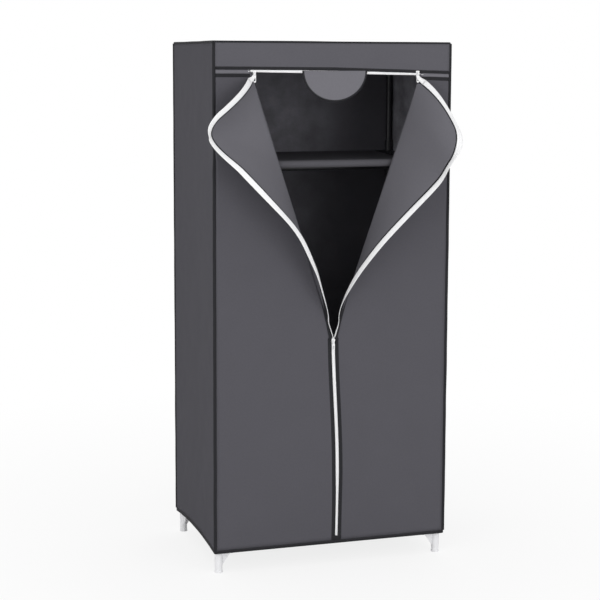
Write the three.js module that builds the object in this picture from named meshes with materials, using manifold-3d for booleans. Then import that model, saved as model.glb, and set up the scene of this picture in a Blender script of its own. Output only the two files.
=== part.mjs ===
// Portable fabric wardrobe: a tube frame on plastic connectors inside a zipped fabric cover.
// Millimetres, +X to the right seen from the front, +Y to the back, +Z up, the floor at Z = 0.
import * as THREE from 'three';
import { mergeVertices } from 'three/addons/utils/BufferGeometryUtils.js';
import Module from 'manifold-3d';

const wasm = await Module();
wasm.setup();

// Driving dimensions

const overall = { width: 750, depth: 500, height: 1600 };
const clearance = 0.3;
const overrun = 2;
const cloth = 1.2;

const tube = { radius: 9.5, wall: 0.8, sides: 16 };

const socket = {
  wall: 2.7, length: 45, hubHalf: 13, collarLength: 6, collarRise: 1.4, ribWidth: 2.4, ribRise: 1, sides: 16,
};

const foot = {
  railHeight: 70, radius: 11.5, topRadius: 12.3, flange: 12.6, flangeHeight: 4, recessRadius: 8.4, recessDepth: 34,
  webThickness: 3, webReach: 26, webLow: 22, crossThickness: 2.2,
};

// The cover hangs this loosely round the connectors. The shelf rails lie shelfDrop below the top rails.
const frame = { looseX: 3, looseY: 9, looseZ: 0.6, shelfDrop: 348.3 };

const hanger = { drop: 26, ringLength: 34, reach: 34, webThickness: 12 };

const shelf = { sag: 7, baseSag: 4, endGap: 3, steps: 14, sleeveSides: 16 };

const seam = { radius: 4.2, proud: 2, cornerRadius: 5, sides: 8 };

const hem = { gap: 64, height: 10, rise: 0.7, sideArch: 14, steps: 8 };

const header = { drop: 86.5, bindingHeight: 10, bindingRise: 0.6, tuck: 16 };

// Each half of the opening folds back about its own line, up from the foot of the opening to foldTopLeft
// or foldTopRight out from the middle.
const front = {
  foldTopLeft: 255, foldTopRight: 269.8, foldTopDrop: 105, foldBottomHeight: 705,
  zipHalf: 7.5, zipBinding: 12, bindingRise: 0.6, topBindingDrop: 98.5, topBindingHeight: 9, sag: 3, zipLean: 12,
};

// How far each wall is drawn in between its seams, as a share of its room.
const drawnShare = { side: 0.85, back: 0.5 };
const roofSag = 7;

const halfMoon = { radius: 102, bindingWidth: 9, bindingRise: 0.5, topGap: 0.5, steps: 16 };

// A place along a flap's free edge is a share: 0 to 1 up the middle, 1 to 2 round the corner and
// 2 to 3 along the top. The cloth and the zip tape start and end at these.
const flap = {
  tapeWidth: 18, cornerRadius: 60, topGap: 4, droopLeft: 27, droopRight: 78, columns: 6,
  clothShares: [0.1, 2.75], zipShares: [0.02, 2.88],
};

// How far each flap is folded back at even steps up its fold line, in degrees from shut, how much its
// cloth curls across the fold and how far its free corner droops.
const flapForms = [
  {
    name: 'left', side: -1, foldTopX: front.foldTopLeft, foldDegrees: [81, 88, 100, 121, 146, 156],
    curlDegrees: 0, droop: flap.droopLeft, droopPower: 1,
  },
  {
    name: 'right', side: 1, foldTopX: front.foldTopRight, foldDegrees: [26, 66, 88, 107, 110, 105],
    curlDegrees: 40, droop: flap.droopRight, droopPower: 1.74,
  },
];

const zip = { tapeVisible: 9, tapeTuck: 12, chainHalf: 2.9, chainRise: 1, bottom: 82, stopHeight: 14, stopRise: 1.5 };

const slider = {
  width: 11.5, length: 15, plate: 1.5, waistShare: 0.62, archWidth: 3, archLength: 10, archRise: 5.2, archWall: 1.6,
};

const pull = { width: 8, length: 27, thickness: 1.5, strap: 2.2, eyeLength: 3.9, gripLength: 11, gripBorder: 2 };

// Values worked out from the driving dimensions

const socketBore = tube.radius + clearance;
const socketRadius = socketBore + socket.wall;
const collarRadius = socketRadius + socket.collarRise;

const sideFace = overall.width / 2 - seam.proud;
const frontFace = overall.depth / 2 - seam.proud;
const roofFace = overall.height - seam.proud;
const seamReach = seam.radius * 2 + clearance;

const postX = sideFace - cloth - frame.looseX - collarRadius;
const postY = frontFace - cloth - frame.looseY - collarRadius;
const sidePull = drawnShare.side * (sideFace - cloth - clearance - postX - socketRadius);
const backPull = drawnShare.back * (frontFace - cloth - clearance - postY - socketRadius);
const bottomZ = foot.railHeight;
const topZ = roofFace - cloth - frame.looseZ - socketRadius;
const shelfZ = topZ - frame.shelfDrop;
const headerLow = overall.height - header.drop;

const foldTopZ = overall.height - front.foldTopDrop;
const flapTop = headerLow - zip.tapeVisible - flap.topGap;
const foldAxisY = -(frontFace + clearance + cloth / 2 + front.bindingRise);

const paint = {
  frameTube: [0x3a3a3e, 0.42, 0.3],
  footPlastic: [0xeceded, 0.45, 0],
  jointPlastic: [0x343438, 0.5, 0],
  coverFabric: [0x57565c, 0.92, 0],
  sideFabric: [0x4d4c52, 0.92, 0],
  headerFabric: [0x5f5e64, 0.92, 0],
  innerFabric: [0x66656b, 0.94, 0],
  shelfFabric: [0x69686e, 0.94, 0],
  binding: [0x2b2a30, 0.9, 0],
  zipTape: [0xf7f7f7, 0.8, 0],
  zipMetal: [0xf2f2f2, 0.35, 0.1],
};

const wardrobe = new THREE.Group();

// Shared makers

function addNode(name, geometry, [color, roughness, metalness]) {
  const material = new THREE.MeshStandardMaterial({ color, roughness, metalness });
  const mesh = new THREE.Mesh(geometry, material);
  mesh.name = name;
  wardrobe.add(mesh);
  return mesh;
}

function toSolid(geometry) {
  const bare = geometry.clone();
  bare.deleteAttribute('normal');
  bare.deleteAttribute('uv');
  const merged = mergeVertices(bare, clearance / 1000);
  const mesh = new wasm.Mesh({
    numProp: 3,
    vertProperties: Float32Array.from(merged.attributes.position.array),
    triVerts: Uint32Array.from(merged.index.array),
  });
  return new wasm.Manifold(mesh);
}

function toGeometry(solid) {
  const mesh = solid.getMesh();
  const geometry = new THREE.BufferGeometry();
  geometry.setAttribute('position', new THREE.BufferAttribute(Float32Array.from(mesh.vertProperties), 3));
  geometry.setIndex(new THREE.BufferAttribute(Uint32Array.from(mesh.triVerts), 1));
  geometry.computeVertexNormals();
  return geometry;
}

function joined(geometries) {
  return geometries.map(toSolid).reduce((whole, piece) => whole.add(piece));
}

function cutFrom(whole, geometries) {
  return geometries.map(toSolid).reduce((left, piece) => left.subtract(piece), whole);
}

// A closed body over a grid of columns and rows: place(u, v) gives its outer and its inner point.
function sheetGeometry(columns, rows, place) {
  const points = [];
  const triangles = [];
  const across = columns.length;
  const up = rows.length;
  for (const v of rows) {
    for (const u of columns) points.push(place(u, v)[0]);
  }
  for (const v of rows) {
    for (const u of columns) points.push(place(u, v)[1]);
  }
  const inner = across * up;
  const quad = (a, b, c, d) => triangles.push(a, b, c, a, c, d);
  for (let j = 0; j + 1 < up; j++) {
    for (let i = 0; i + 1 < across; i++) {
      const a = j * across + i;
      quad(a, a + 1, a + 1 + across, a + across);
      quad(inner + a, inner + a + across, inner + a + 1 + across, inner + a + 1);
    }
  }
  for (let i = 0; i + 1 < across; i++) {
    const low = i;
    const high = (up - 1) * across + i;
    quad(low, inner + low, inner + low + 1, low + 1);
    quad(high, high + 1, inner + high + 1, inner + high);
  }
  for (let j = 0; j + 1 < up; j++) {
    const left = j * across;
    const right = left + across - 1;
    quad(left, left + across, inner + left + across, inner + left);
    quad(right, inner + right, inner + right + across, right + across);
  }
  return closedGeometry(points, triangles);
}

// The faces of a closed body are turned outwards when they enclose a negative volume.
function closedGeometry(points, triangles) {
  let volume = 0;
  for (let k = 0; k < triangles.length; k += 3) {
    const [a, b, c] = [triangles[k], triangles[k + 1], triangles[k + 2]].map((index) => points[index]);
    volume += a.dot(b.clone().cross(c));
  }
  const index = volume < 0 ? [...triangles].reverse() : triangles;
  const geometry = new THREE.BufferGeometry().setFromPoints(points);
  geometry.setIndex(index);
  geometry.computeVertexNormals();
  return geometry;
}

function spread(count, from = 0, to = 1) {
  return Array.from({ length: count + 1 }, (_, step) => from + ((to - from) * step) / count);
}

function box(x, y, z, width, depth, height) {
  return new THREE.BoxGeometry(width, depth, height).translate(x, y, z);
}

// A hollow length of tube, open at both ends, along +Z from the origin.
function tubeGeometry(length) {
  const inner = tube.radius - tube.wall;
  const profile = [
    new THREE.Vector2(inner, 0),
    new THREE.Vector2(tube.radius, 0),
    new THREE.Vector2(tube.radius, length),
    new THREE.Vector2(inner, length),
    new THREE.Vector2(inner, 0),
  ];
  return new THREE.LatheGeometry(profile, tube.sides).rotateX(Math.PI / 2);
}

function aim(geometry, direction) {
  const turn = new THREE.Quaternion().setFromUnitVectors(new THREE.Vector3(0, 0, 1), direction);
  return geometry.applyQuaternion(turn);
}

function addTube(name, start, end) {
  const run = end.clone().sub(start);
  const geometry = aim(tubeGeometry(run.length()), run.clone().normalize());
  addNode(name, geometry.translate(start.x, start.y, start.z), paint.frameTube);
}

// Plastic connectors: sockets along given directions round one hub

function rod(radius, from, to, sides = socket.sides) {
  return new THREE.CylinderGeometry(radius, radius, to - from, sides)
    .rotateX(Math.PI / 2)
    .translate(0, 0, (from + to) / 2);
}

function socketShells(direction, detailed) {
  const shells = [aim(rod(socketRadius, 0, socket.length), direction)];
  if (detailed) {
    shells.push(aim(rod(collarRadius, socket.length - socket.collarLength, socket.length), direction));
    for (let turn = 0; turn < 2; turn++) {
      const span = 2 * (socketRadius + socket.ribRise);
      const length = socket.length - socket.hubHalf;
      const rib = new THREE.BoxGeometry(span, socket.ribWidth, length)
        .translate(0, 0, socket.hubHalf + length / 2 - clearance)
        .rotateZ((turn * Math.PI) / 2);
      shells.push(aim(rib, direction));
    }
  }
  return shells;
}

function connectorSolid(directions, extras = [], detailed = false) {
  const hub = new THREE.SphereGeometry(socketRadius, socket.sides, socket.sides / 2);
  const shells = directions.flatMap((direction) => socketShells(direction, detailed));
  const whole = joined([hub, ...shells, ...extras]);
  const bores = directions.map((direction) =>
    aim(rod(socketBore, socket.hubHalf, socket.length + overrun), direction));
  return cutFrom(whole, bores);
}

function triangleWeb(direction) {
  const outline = new THREE.Shape([
    new THREE.Vector2(0, foot.webLow - foot.railHeight),
    new THREE.Vector2(foot.radius, foot.webLow - foot.railHeight),
    new THREE.Vector2(foot.webReach + foot.radius, -socketRadius + overrun),
    new THREE.Vector2(0, -socketRadius + overrun),
  ]);
  const web = new THREE.ExtrudeGeometry(outline, { depth: foot.webThickness, bevelEnabled: false, steps: 1 })
    .translate(0, 0, -foot.webThickness / 2)
    .rotateX(Math.PI / 2);
  return web.rotateZ(Math.atan2(direction.y, direction.x));
}

function footPeg() {
  const base = -foot.railHeight;
  const profile = [
    new THREE.Vector2(0, base),
    new THREE.Vector2(foot.flange, base),
    new THREE.Vector2(foot.flange, base + foot.flangeHeight),
    new THREE.Vector2(foot.radius, base + foot.flangeHeight + foot.flange - foot.radius),
    new THREE.Vector2(foot.topRadius, 0),
    new THREE.Vector2(0, 0),
  ];
  return new THREE.LatheGeometry(profile, socket.sides).rotateX(Math.PI / 2);
}

// The peg is open underneath, with a cross of ribs that stops short of the rim.
function footRecess() {
  const low = -foot.railHeight;
  const hollow = toSolid(rod(foot.recessRadius, low - overrun, low + foot.recessDepth));
  const crossHeight = foot.recessDepth - foot.flangeHeight + overrun;
  const crossMiddle = low + foot.flangeHeight + crossHeight / 2;
  const span = 2 * foot.recessRadius + overrun;
  const bars = joined([
    box(0, 0, crossMiddle, span, foot.crossThickness, crossHeight),
    box(0, 0, crossMiddle, foot.crossThickness, span, crossHeight),
  ]);
  return hollow.subtract(bars);
}

function addConnector(name, solid, x, y, z, finish = paint.jointPlastic) {
  addNode(name, toGeometry(solid).translate(x, y, z), finish);
}

function cornerName(x, y) {
  return `${y < 0 ? 'front' : 'back'}_${x < 0 ? 'left' : 'right'}`;
}

for (const x of [-1, 1]) {
  for (const y of [-1, 1]) {
    const name = cornerName(x, y);
    const inX = new THREE.Vector3(-x, 0, 0);
    const inY = new THREE.Vector3(0, -y, 0);
    const up = new THREE.Vector3(0, 0, 1);
    const down = new THREE.Vector3(0, 0, -1);
    const footSolid = connectorSolid([inX, inY, up], [footPeg(), triangleWeb(inX), triangleWeb(inY)], true)
      .subtract(footRecess());
    addConnector(`foot_connector_${name}`, footSolid, x * postX, y * postY, bottomZ, paint.footPlastic);
    addConnector(`shelf_connector_${name}`, connectorSolid([inX, inY, up, down]), x * postX, y * postY, shelfZ);
    addConnector(`top_connector_${name}`, connectorSolid([inX, inY, down]), x * postX, y * postY, topZ);

    const seat = socket.hubHalf + clearance;
    const at = (z) => new THREE.Vector3(x * postX, y * postY, z);
    addTube(`lower_post_${name}`, at(bottomZ + seat), at(shelfZ - seat));
    addTube(`upper_post_${name}`, at(shelfZ + seat), at(topZ - seat));
  }
}

for (const [level, z] of [['bottom', bottomZ], ['shelf', shelfZ], ['top', topZ]]) {
  const halfX = postX - socket.hubHalf - clearance;
  const halfY = postY - socket.hubHalf - clearance;
  for (const [end, y] of [['front', -postY], ['back', postY]]) {
    addTube(`${level}_rail_${end}`, new THREE.Vector3(-halfX, y, z), new THREE.Vector3(halfX, y, z));
  }
  for (const [end, x] of [['left', -postX], ['right', postX]]) {
    addTube(`${level}_rail_${end}`, new THREE.Vector3(x, -halfY, z), new THREE.Vector3(x, halfY, z));
  }
}

// Hanging rail, carried below the shelf by a clip on each side rail

const hangingZ = shelfZ - hanger.drop;

for (const [end, side] of [['left', -1], ['right', 1]]) {
  const alongY = new THREE.Vector3(0, 1, 0);
  const inX = new THREE.Vector3(-side, 0, 0);
  const ring = aim(rod(socketRadius, -hanger.ringLength / 2, hanger.ringLength / 2), alongY);
  const arm = aim(rod(socketRadius, -socketRadius, hanger.reach), inX).translate(0, 0, -hanger.drop);
  const web = box(0, 0, -hanger.drop / 2, 2 * socketRadius, hanger.webThickness, hanger.drop);
  const ringBore = aim(rod(socketBore, -hanger.ringLength, hanger.ringLength), alongY);
  const armBore = aim(rod(socketBore, 0, hanger.reach + overrun), inX).translate(0, 0, -hanger.drop);
  const solid = cutFrom(joined([ring, arm, web]), [ringBore, armBore]);
  addConnector(`rail_hanger_${end}`, solid, side * postX, 0, shelfZ);
}

addTube(
  'hanging_rail',
  new THREE.Vector3(-(postX - clearance), 0, hangingZ),
  new THREE.Vector3(postX - clearance, 0, hangingZ),
);

// Shelf and base cloths: one sheet with a sleeve round its front rail and its back rail

function shelfCloth(sag) {
  const inner = tube.radius + clearance;
  const outer = inner + cloth;
  const sheetTop = (y) => outer - sag * (1 - (y / postY) ** 2);
  const outline = new THREE.Shape();
  const reach = spread(shelf.steps, -postY, postY);
  reach.forEach((y, step) => (step ? outline.lineTo(y, sheetTop(y)) : outline.moveTo(y, sheetTop(y))));
  outline.absarc(postY, 0, outer, Math.PI / 2, -Math.PI, true);
  const under = reach.filter((y) => Math.abs(y) < postY - outer - cloth).reverse();
  under.forEach((y) => outline.lineTo(y, sheetTop(y) - cloth));
  outline.absarc(-postY, 0, outer, 0, -1.5 * Math.PI, true);
  for (const y of [-postY, postY]) {
    outline.holes.push(new THREE.Path().absarc(y, 0, inner, 0, 2 * Math.PI, false));
  }
  const half = postX - socket.length - shelf.endGap;
  return new THREE.ExtrudeGeometry(outline, {
    depth: 2 * half, steps: 1, bevelEnabled: false, curveSegments: shelf.sleeveSides / 2,
  })
    .applyMatrix4(new THREE.Matrix4().makeBasis(
      new THREE.Vector3(0, 1, 0), new THREE.Vector3(0, 0, 1), new THREE.Vector3(1, 0, 0)))
    .translate(-half, 0, 0);
}

addNode('shelf_cloth', shelfCloth(shelf.sag).translate(0, 0, shelfZ), paint.shelfFabric);
addNode('base_cloth', shelfCloth(shelf.baseSag).translate(0, 0, bottomZ), paint.shelfFabric);

// Cover: back, sides and roof, each drawn in a little between its seams

const panelLow = hem.gap + hem.height + clearance;
const panelHigh = overall.height - seamReach;

function arch(height, share) {
  return height * 4 * share * (1 - share);
}

// The hem's arch runs between the rounded corners, at halfHem from the middle.
function wallPanel(halfWidth, halfHem, face, pullIn, hemArch) {
  const columns = spread(hem.steps, -halfHem, halfHem).map((x) => THREE.MathUtils.clamp(x, -halfWidth, halfWidth));
  return sheetGeometry(columns, spread(8), (across, v) => {
    const u = (across + halfWidth) / (2 * halfWidth);
    const hemShare = THREE.MathUtils.clamp((across + halfHem) / (2 * halfHem), 0, 1);
    const low = panelLow + arch(hemArch, hemShare);
    const z = THREE.MathUtils.lerp(low, panelHigh, v);
    const drawn = pullIn * Math.sin(Math.PI * u) * Math.sin(Math.PI * v);
    return [
      new THREE.Vector3(across, -(face - drawn), z),
      new THREE.Vector3(across, -(face - drawn - cloth), z),
    ];
  });
}

const seamX = overall.width / 2 - seam.radius;
const seamY = overall.depth / 2 - seam.radius;
const legInset = seam.cornerRadius * (1 - Math.SQRT1_2);
const wallHalfX = seamX - legInset - seam.radius - clearance;
const wallHalfY = seamY - legInset - seam.radius - clearance;
const roofHalfX = overall.width / 2 - seamReach;
const roofHalfY = overall.depth / 2 - seamReach;

addNode('back_panel', wallPanel(wallHalfX, sideFace - seam.cornerRadius, frontFace, backPull, 0).rotateZ(Math.PI), paint.sideFabric);
for (const [end, turn] of [['left', -Math.PI / 2], ['right', Math.PI / 2]]) {
  const panel = wallPanel(wallHalfY, frontFace - seam.cornerRadius, sideFace, sidePull, hem.sideArch);
  addNode(`side_panel_${end}`, panel.rotateZ(turn), paint.sideFabric);
}

const roofSheet = sheetGeometry(spread(6), spread(4), (u, v) => {
  const trim = u % 1 === 0 && v % 1 === 0 ? legInset : 0;
  const x = THREE.MathUtils.lerp(trim - roofHalfX, roofHalfX - trim, u);
  const y = THREE.MathUtils.lerp(trim - roofHalfY, roofHalfY - trim, v);
  const sagged = roofSag * Math.sin(Math.PI * u) * Math.sin(Math.PI * v);
  return [new THREE.Vector3(x, y, roofFace - sagged), new THREE.Vector3(x, y, roofFace - sagged - cloth)];
});
addNode('roof_panel', roofSheet, paint.headerFabric);

// Bound seams: a loop round the roof with a leg down each corner, and a flat loop round the hem

// A level loop round the cover with rounded corners; each side may arch up in its middle.
function coverLoop(halfX, halfY, radius, z, sideArch, steps) {
  const points = [];
  const corners = [[1, -1, -Math.PI / 2], [1, 1, 0], [-1, 1, Math.PI / 2], [-1, -1, Math.PI]];
  corners.forEach(([x, y, start], corner) => {
    for (const angle of spread(3, start, start + Math.PI / 2)) {
      points.push(new THREE.Vector3(
        x * (halfX - radius) + radius * Math.cos(angle), y * (halfY - radius) + radius * Math.sin(angle), z));
    }
    if (corner % 2) return;
    for (const share of spread(steps).slice(1, -1)) {
      const y2 = THREE.MathUtils.lerp(y * (halfY - radius), -y * (halfY - radius), share);
      points.push(new THREE.Vector3(x * halfX, y2, z + arch(sideArch, share)));
    }
  });
  return points;
}

// A closed band along a loop; the section gives its points outwards and upwards from the loop.
function bandLoop(loop, section) {
  const points = [];
  const triangles = [];
  const count = loop.length;
  const sides = section.length;
  loop.forEach((point, k) => {
    const before = point.clone().sub(loop[(k + count - 1) % count]).setZ(0).normalize();
    const after = loop[(k + 1) % count].clone().sub(point).setZ(0).normalize();
    const along = before.add(after);
    const outward = new THREE.Vector3(along.y, -along.x, 0).normalize();
    const widen = 2 / along.length();
    for (const [out, up] of section) {
      points.push(point.clone().addScaledVector(outward, out * widen).add(new THREE.Vector3(0, 0, up)));
    }
  });
  for (let k = 0; k < count; k++) {
    for (let s = 0; s < sides; s++) {
      const a = k * sides + s;
      const b = k * sides + ((s + 1) % sides);
      const c = ((k + 1) % count) * sides + s;
      const d = ((k + 1) % count) * sides + ((s + 1) % sides);
      triangles.push(a, c, d, a, d, b);
    }
  }
  return closedGeometry(points, triangles);
}

const beadSection = spread(seam.sides).slice(1).map((share) => {
  const angle = 2 * Math.PI * share;
  return [seam.radius * Math.cos(angle), seam.radius * Math.sin(angle)];
});
const roofLoop = coverLoop(seamX, seamY, seam.cornerRadius, overall.height - seam.radius, 0, 1);
const legLow = hem.gap + hem.height + clearance;
const legs = [-1, 1].flatMap((x) => [-1, 1].map((y) =>
  rod(seam.radius, legLow, overall.height - seam.radius, seam.sides)
    .translate(x * (seamX - legInset), y * (seamY - legInset), 0)));
addNode('bound_seams', toGeometry(joined([bandLoop(roofLoop, beadSection), ...legs])), paint.binding);

const hemOut = hem.rise;
const hemIn = -cloth - hem.rise;
const hemSection = [[hemIn, 0], [hemOut, 0], [hemOut, hem.height], [hemIn, hem.height]];
const hemLoop = coverLoop(sideFace, frontFace, seam.cornerRadius, hem.gap, hem.sideArch, hem.steps);
addNode('hem_binding', bandLoop(hemLoop, hemSection), paint.binding);

// Header: the plain band across the top of the front, with a bound lower edge

const headerTop = overall.height - seamReach;
const headerInner = frontFace + clearance;
const headerRows = [0, header.bindingHeight, header.bindingHeight, headerTop - headerLow];

addNode('header_band', sheetGeometry(spread(2, -wallHalfX, wallHalfX), headerRows.map((rise, k) => [rise, k]), (x, [rise, k]) => {
  const bound = k < 2 ? header.bindingRise : 0;
  return [
    new THREE.Vector3(x, -(headerInner + cloth + bound), headerLow + rise + (k === 2 ? clearance : 0)),
    new THREE.Vector3(x, -headerInner, headerLow + rise + (k === 2 ? clearance : 0)),
  ];
}), paint.headerFabric);

// Front panels: fixed cloth beside the fold lines and the closed lower zip

// The middle of the closed lower zip, which leans towards its bottom end.
function zipX(z) {
  return front.zipLean * THREE.MathUtils.clamp(
    (front.foldBottomHeight - z) / (front.foldBottomHeight - zip.bottom), 0, 1);
}

function frontPanel({ side, foldTopX }) {
  const bindingTop = overall.height - front.topBindingDrop;
  const bindingLow = bindingTop - front.topBindingHeight;
  const topZEdge = headerLow + header.tuck;
  const rows = [
    ...spread(3, panelLow, front.foldBottomHeight),
    ...spread(4, front.foldBottomHeight, bindingLow).slice(1),
    bindingLow + clearance, bindingTop, bindingTop + clearance, topZEdge,
  ];
  const columns = [...spread(4), 2, 3];
  return sheetGeometry(columns, rows, (u, z) => {
    const outerEdge = -wallHalfX;
    const foldShare = Math.max(0, z - front.foldBottomHeight) / (foldTopZ - front.foldBottomHeight);
    const gapHere = z <= front.foldBottomHeight ? front.zipHalf + clearance : clearance;
    const innerEdge = -foldTopX * foldShare - side * zipX(z) - gapHere;
    const bindingEdge = innerEdge - front.zipBinding;
    let x = THREE.MathUtils.lerp(outerEdge, bindingEdge - clearance, Math.min(u, 1));
    if (u === 2) x = bindingEdge;
    if (u === 3) x = innerEdge;
    const inTopBinding = z > bindingLow && z <= bindingTop;
    const inZipBinding = u >= 2 && z <= front.foldBottomHeight;
    const onFoldEdge = u === 3 && z > front.foldBottomHeight && z <= bindingTop;
    const rise = inTopBinding || inZipBinding || onFoldEdge ? front.bindingRise : 0;
    const loose = u >= 1 ? 0 : Math.sin(Math.PI * u) * Math.sin((Math.PI * (z - panelLow)) / (topZEdge - panelLow));
    const face = frontFace - front.sag * loose;
    return [
      new THREE.Vector3(-side * x, -(face + rise), z),
      new THREE.Vector3(-side * x, -(face - cloth), z),
    ];
  });
}

for (const form of flapForms) addNode(`front_panel_${form.name}`, frontPanel(form), paint.coverFabric);

// Door flaps: the two halves of the opening above the slider, folded back about their fold lines

// Each flap with its fold line: the directions along and across it, its length and how far the flap
// reaches from it.
const flaps = flapForms.map((form) => {
  const run = new THREE.Vector2(-form.foldTopX, foldTopZ - front.foldBottomHeight);
  const along = run.clone().normalize();
  const across = new THREE.Vector2(along.y, -along.x);
  return { ...form, along, across, length: run.length(), reach: (flapTop - front.foldBottomHeight) * across.y };
});

function foldAngle(form, distance) {
  const place = THREE.MathUtils.clamp(distance / form.length, 0, 1) * (form.foldDegrees.length - 1);
  const step = Math.min(Math.floor(place), form.foldDegrees.length - 2);
  const part = place - step;
  const eased = part * part * (3 - 2 * part) * 0.5 + part * 0.5;
  return THREE.MathUtils.degToRad(THREE.MathUtils.lerp(form.foldDegrees[step], form.foldDegrees[step + 1], eased));
}

// Where a point of the shut flap, x from the middle and z up, lies once the flap is folded back.
function foldedPoint(form, x, z) {
  const flat = new THREE.Vector2(x, z - front.foldBottomHeight);
  const distance = flat.dot(form.along);
  const width = Math.max(0, flat.dot(form.across));
  const middle = foldAngle(form, distance);
  const curl = THREE.MathUtils.degToRad(form.curlDegrees) * (width / form.reach);
  let inward = 0;
  let outward = 0;
  const parts = 8;
  for (let k = 0; k < parts; k++) {
    const angle = middle + curl * ((k + 0.5) / parts - 0.5);
    inward += (Math.cos(angle) * width) / parts;
    outward += (Math.sin(angle) * width) / parts;
  }
  const drop = form.droop * (width / form.reach) ** form.droopPower;
  const flatX = distance * form.along.x + inward * form.across.x;
  const flatZ = front.foldBottomHeight + distance * form.along.y + inward * form.across.y;
  return new THREE.Vector3(-form.side * flatX, foldAxisY - outward, flatZ - drop);
}

function foldedPair(form, x, z) {
  const middle = foldedPoint(form, x, z);
  const alongX = foldedPoint(form, x + clearance, z).sub(foldedPoint(form, x - clearance, z));
  const alongZ = foldedPoint(form, x, z + clearance).sub(foldedPoint(form, x, z - clearance));
  const normal = alongX.cross(alongZ).normalize().multiplyScalar(cloth / 2);
  return [middle.clone().add(normal), middle.clone().sub(normal)];
}

// The shut flap's free edge, drawn in by inset: up the middle, round the corner and along the top.
function flapEdge(form, inset, share) {
  const radius = flap.cornerRadius - inset;
  const side = -inset;
  const top = flapTop - inset;
  const straight = top - radius - front.foldBottomHeight;
  if (share < 1) return [side, front.foldBottomHeight + straight * share];
  if (share < 2) {
    const angle = ((share - 1) * Math.PI) / 2;
    return [side - radius + radius * Math.cos(angle), top - radius + radius * Math.sin(angle)];
  }
  return [THREE.MathUtils.lerp(side - radius, -form.foldTopX, share - 2), top];
}

function flapClothEdge(form, share) {
  const [x, z] = flapEdge(form, flap.tapeWidth + clearance, share);
  return keepInside(form, x, z);
}

// Points past the fold line are brought back to it.
function keepInside(form, x, z) {
  const flat = new THREE.Vector2(x, z - front.foldBottomHeight);
  const kept = form.along.clone().multiplyScalar(flat.dot(form.along))
    .addScaledVector(form.across, Math.max(0, flat.dot(form.across)));
  return [kept.x, front.foldBottomHeight + kept.y];
}

const clothShares = [
  ...spread(10, flap.clothShares[0], 1), ...spread(5, 1, 2).slice(1), ...spread(4, 2, flap.clothShares[1]).slice(1),
];
const zipShares = [flap.zipShares[0], ...clothShares, flap.zipShares[1]];

function flapCloth(form) {
  return sheetGeometry(spread(flap.columns), clothShares, (u, share) => {
    const [edgeX, edgeZ] = flapClothEdge(form, share);
    const distance = new THREE.Vector2(edgeX, edgeZ - front.foldBottomHeight).dot(form.along);
    const foldPoint = form.along.clone().multiplyScalar(distance);
    const x = THREE.MathUtils.lerp(foldPoint.x, edgeX, u);
    const z = THREE.MathUtils.lerp(front.foldBottomHeight + foldPoint.y, edgeZ, u);
    return foldedPair(form, x, z);
  });
}

function flapZip(form) {
  return sheetGeometry([0, 1], zipShares, (u, share) => {
    const outer = flapEdge(form, 0, share);
    const inner = flapEdge(form, flap.tapeWidth, share);
    const [x, z] = keepInside(
      form, THREE.MathUtils.lerp(inner[0], outer[0], u), THREE.MathUtils.lerp(inner[1], outer[1], u));
    return foldedPair(form, x, z);
  });
}

for (const form of flaps) {
  addNode(`door_flap_${form.name}`, flapCloth(form), paint.innerFabric);
  addNode(`door_zip_${form.name}`, flapZip(form), paint.zipTape);
}

// Zips that stay with the cover: the header's half of the top zips, and the closed lower zip

// A box that starts halfway into cloth with the given face and stands rise in front of it.
function raisedBox(face, rise, z, width, height) {
  return box(0, -(face + (rise - cloth / 2) / 2), z, width, rise + cloth / 2, height);
}

function zipStrip(halfWidth, low, high, face, chainAlongX) {
  const tape = box(0, -(face - cloth / 2), (low + high) / 2, 2 * halfWidth, cloth, high - low);
  const chain = chainAlongX
    ? raisedBox(face, zip.chainRise, low + zip.chainHalf, 2 * halfWidth, 2 * zip.chainHalf)
    : raisedBox(face, zip.chainRise, (low + high) / 2, 2 * zip.chainHalf, high - low);
  return [tape, chain];
}

const headerZipLow = headerLow - zip.tapeVisible;
const headerZip = joined(zipStrip(
  (front.foldTopLeft + front.foldTopRight) / 2, headerZipLow, headerLow + zip.tapeTuck, frontFace, true))
  .translate([(front.foldTopRight - front.foldTopLeft) / 2, 0, 0]);
addNode('header_zip', toGeometry(headerZip), paint.zipTape);

const lowerZipTop = front.foldBottomHeight - clearance;
const lowerZip = joined([
  ...zipStrip(front.zipHalf, zip.bottom, lowerZipTop, frontFace, false),
  raisedBox(frontFace, zip.stopRise, zip.bottom + zip.stopHeight / 2, 2 * front.zipHalf, zip.stopHeight),
]).warp((point) => {
  point[0] += zipX(point[2]);
});
addNode('lower_zip', toGeometry(lowerZip), paint.zipTape);

// Half-moon tab: hangs below the header over the point where the three zips meet

const moonFace = frontFace + zip.chainRise + clearance;
const moonTop = headerLow - halfMoon.topGap;

function halfRing(outer, inner, thickness) {
  const outline = new THREE.Shape().absarc(0, 0, outer, Math.PI, 2 * Math.PI, false);
  if (inner > 0) outline.absarc(0, 0, inner, 2 * Math.PI, Math.PI, true);
  outline.closePath();
  return new THREE.ExtrudeGeometry(outline, {
    depth: thickness, steps: 1, bevelEnabled: false, curveSegments: halfMoon.steps,
  }).rotateX(Math.PI / 2);
}

const moonRim = cloth + halfMoon.bindingRise;
const moonDisc = halfRing(halfMoon.radius, 0, cloth);
const moonBinding = halfRing(halfMoon.radius, halfMoon.radius - halfMoon.bindingWidth, moonRim);
const moon = joined([moonDisc, moonBinding]).translate([0, -moonFace, moonTop]);
addNode('half_moon_tab', toGeometry(moon), paint.innerFabric);

// Sliders and their pulls

// A flat plate of the given outline in X and Z; its back lies at Y = 0 and its front faces -Y.
function plate(outline, thickness) {
  return new THREE.ExtrudeGeometry(outline, { depth: thickness, steps: 1, bevelEnabled: false, curveSegments: 6 })
    .rotateX(Math.PI / 2);
}

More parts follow.
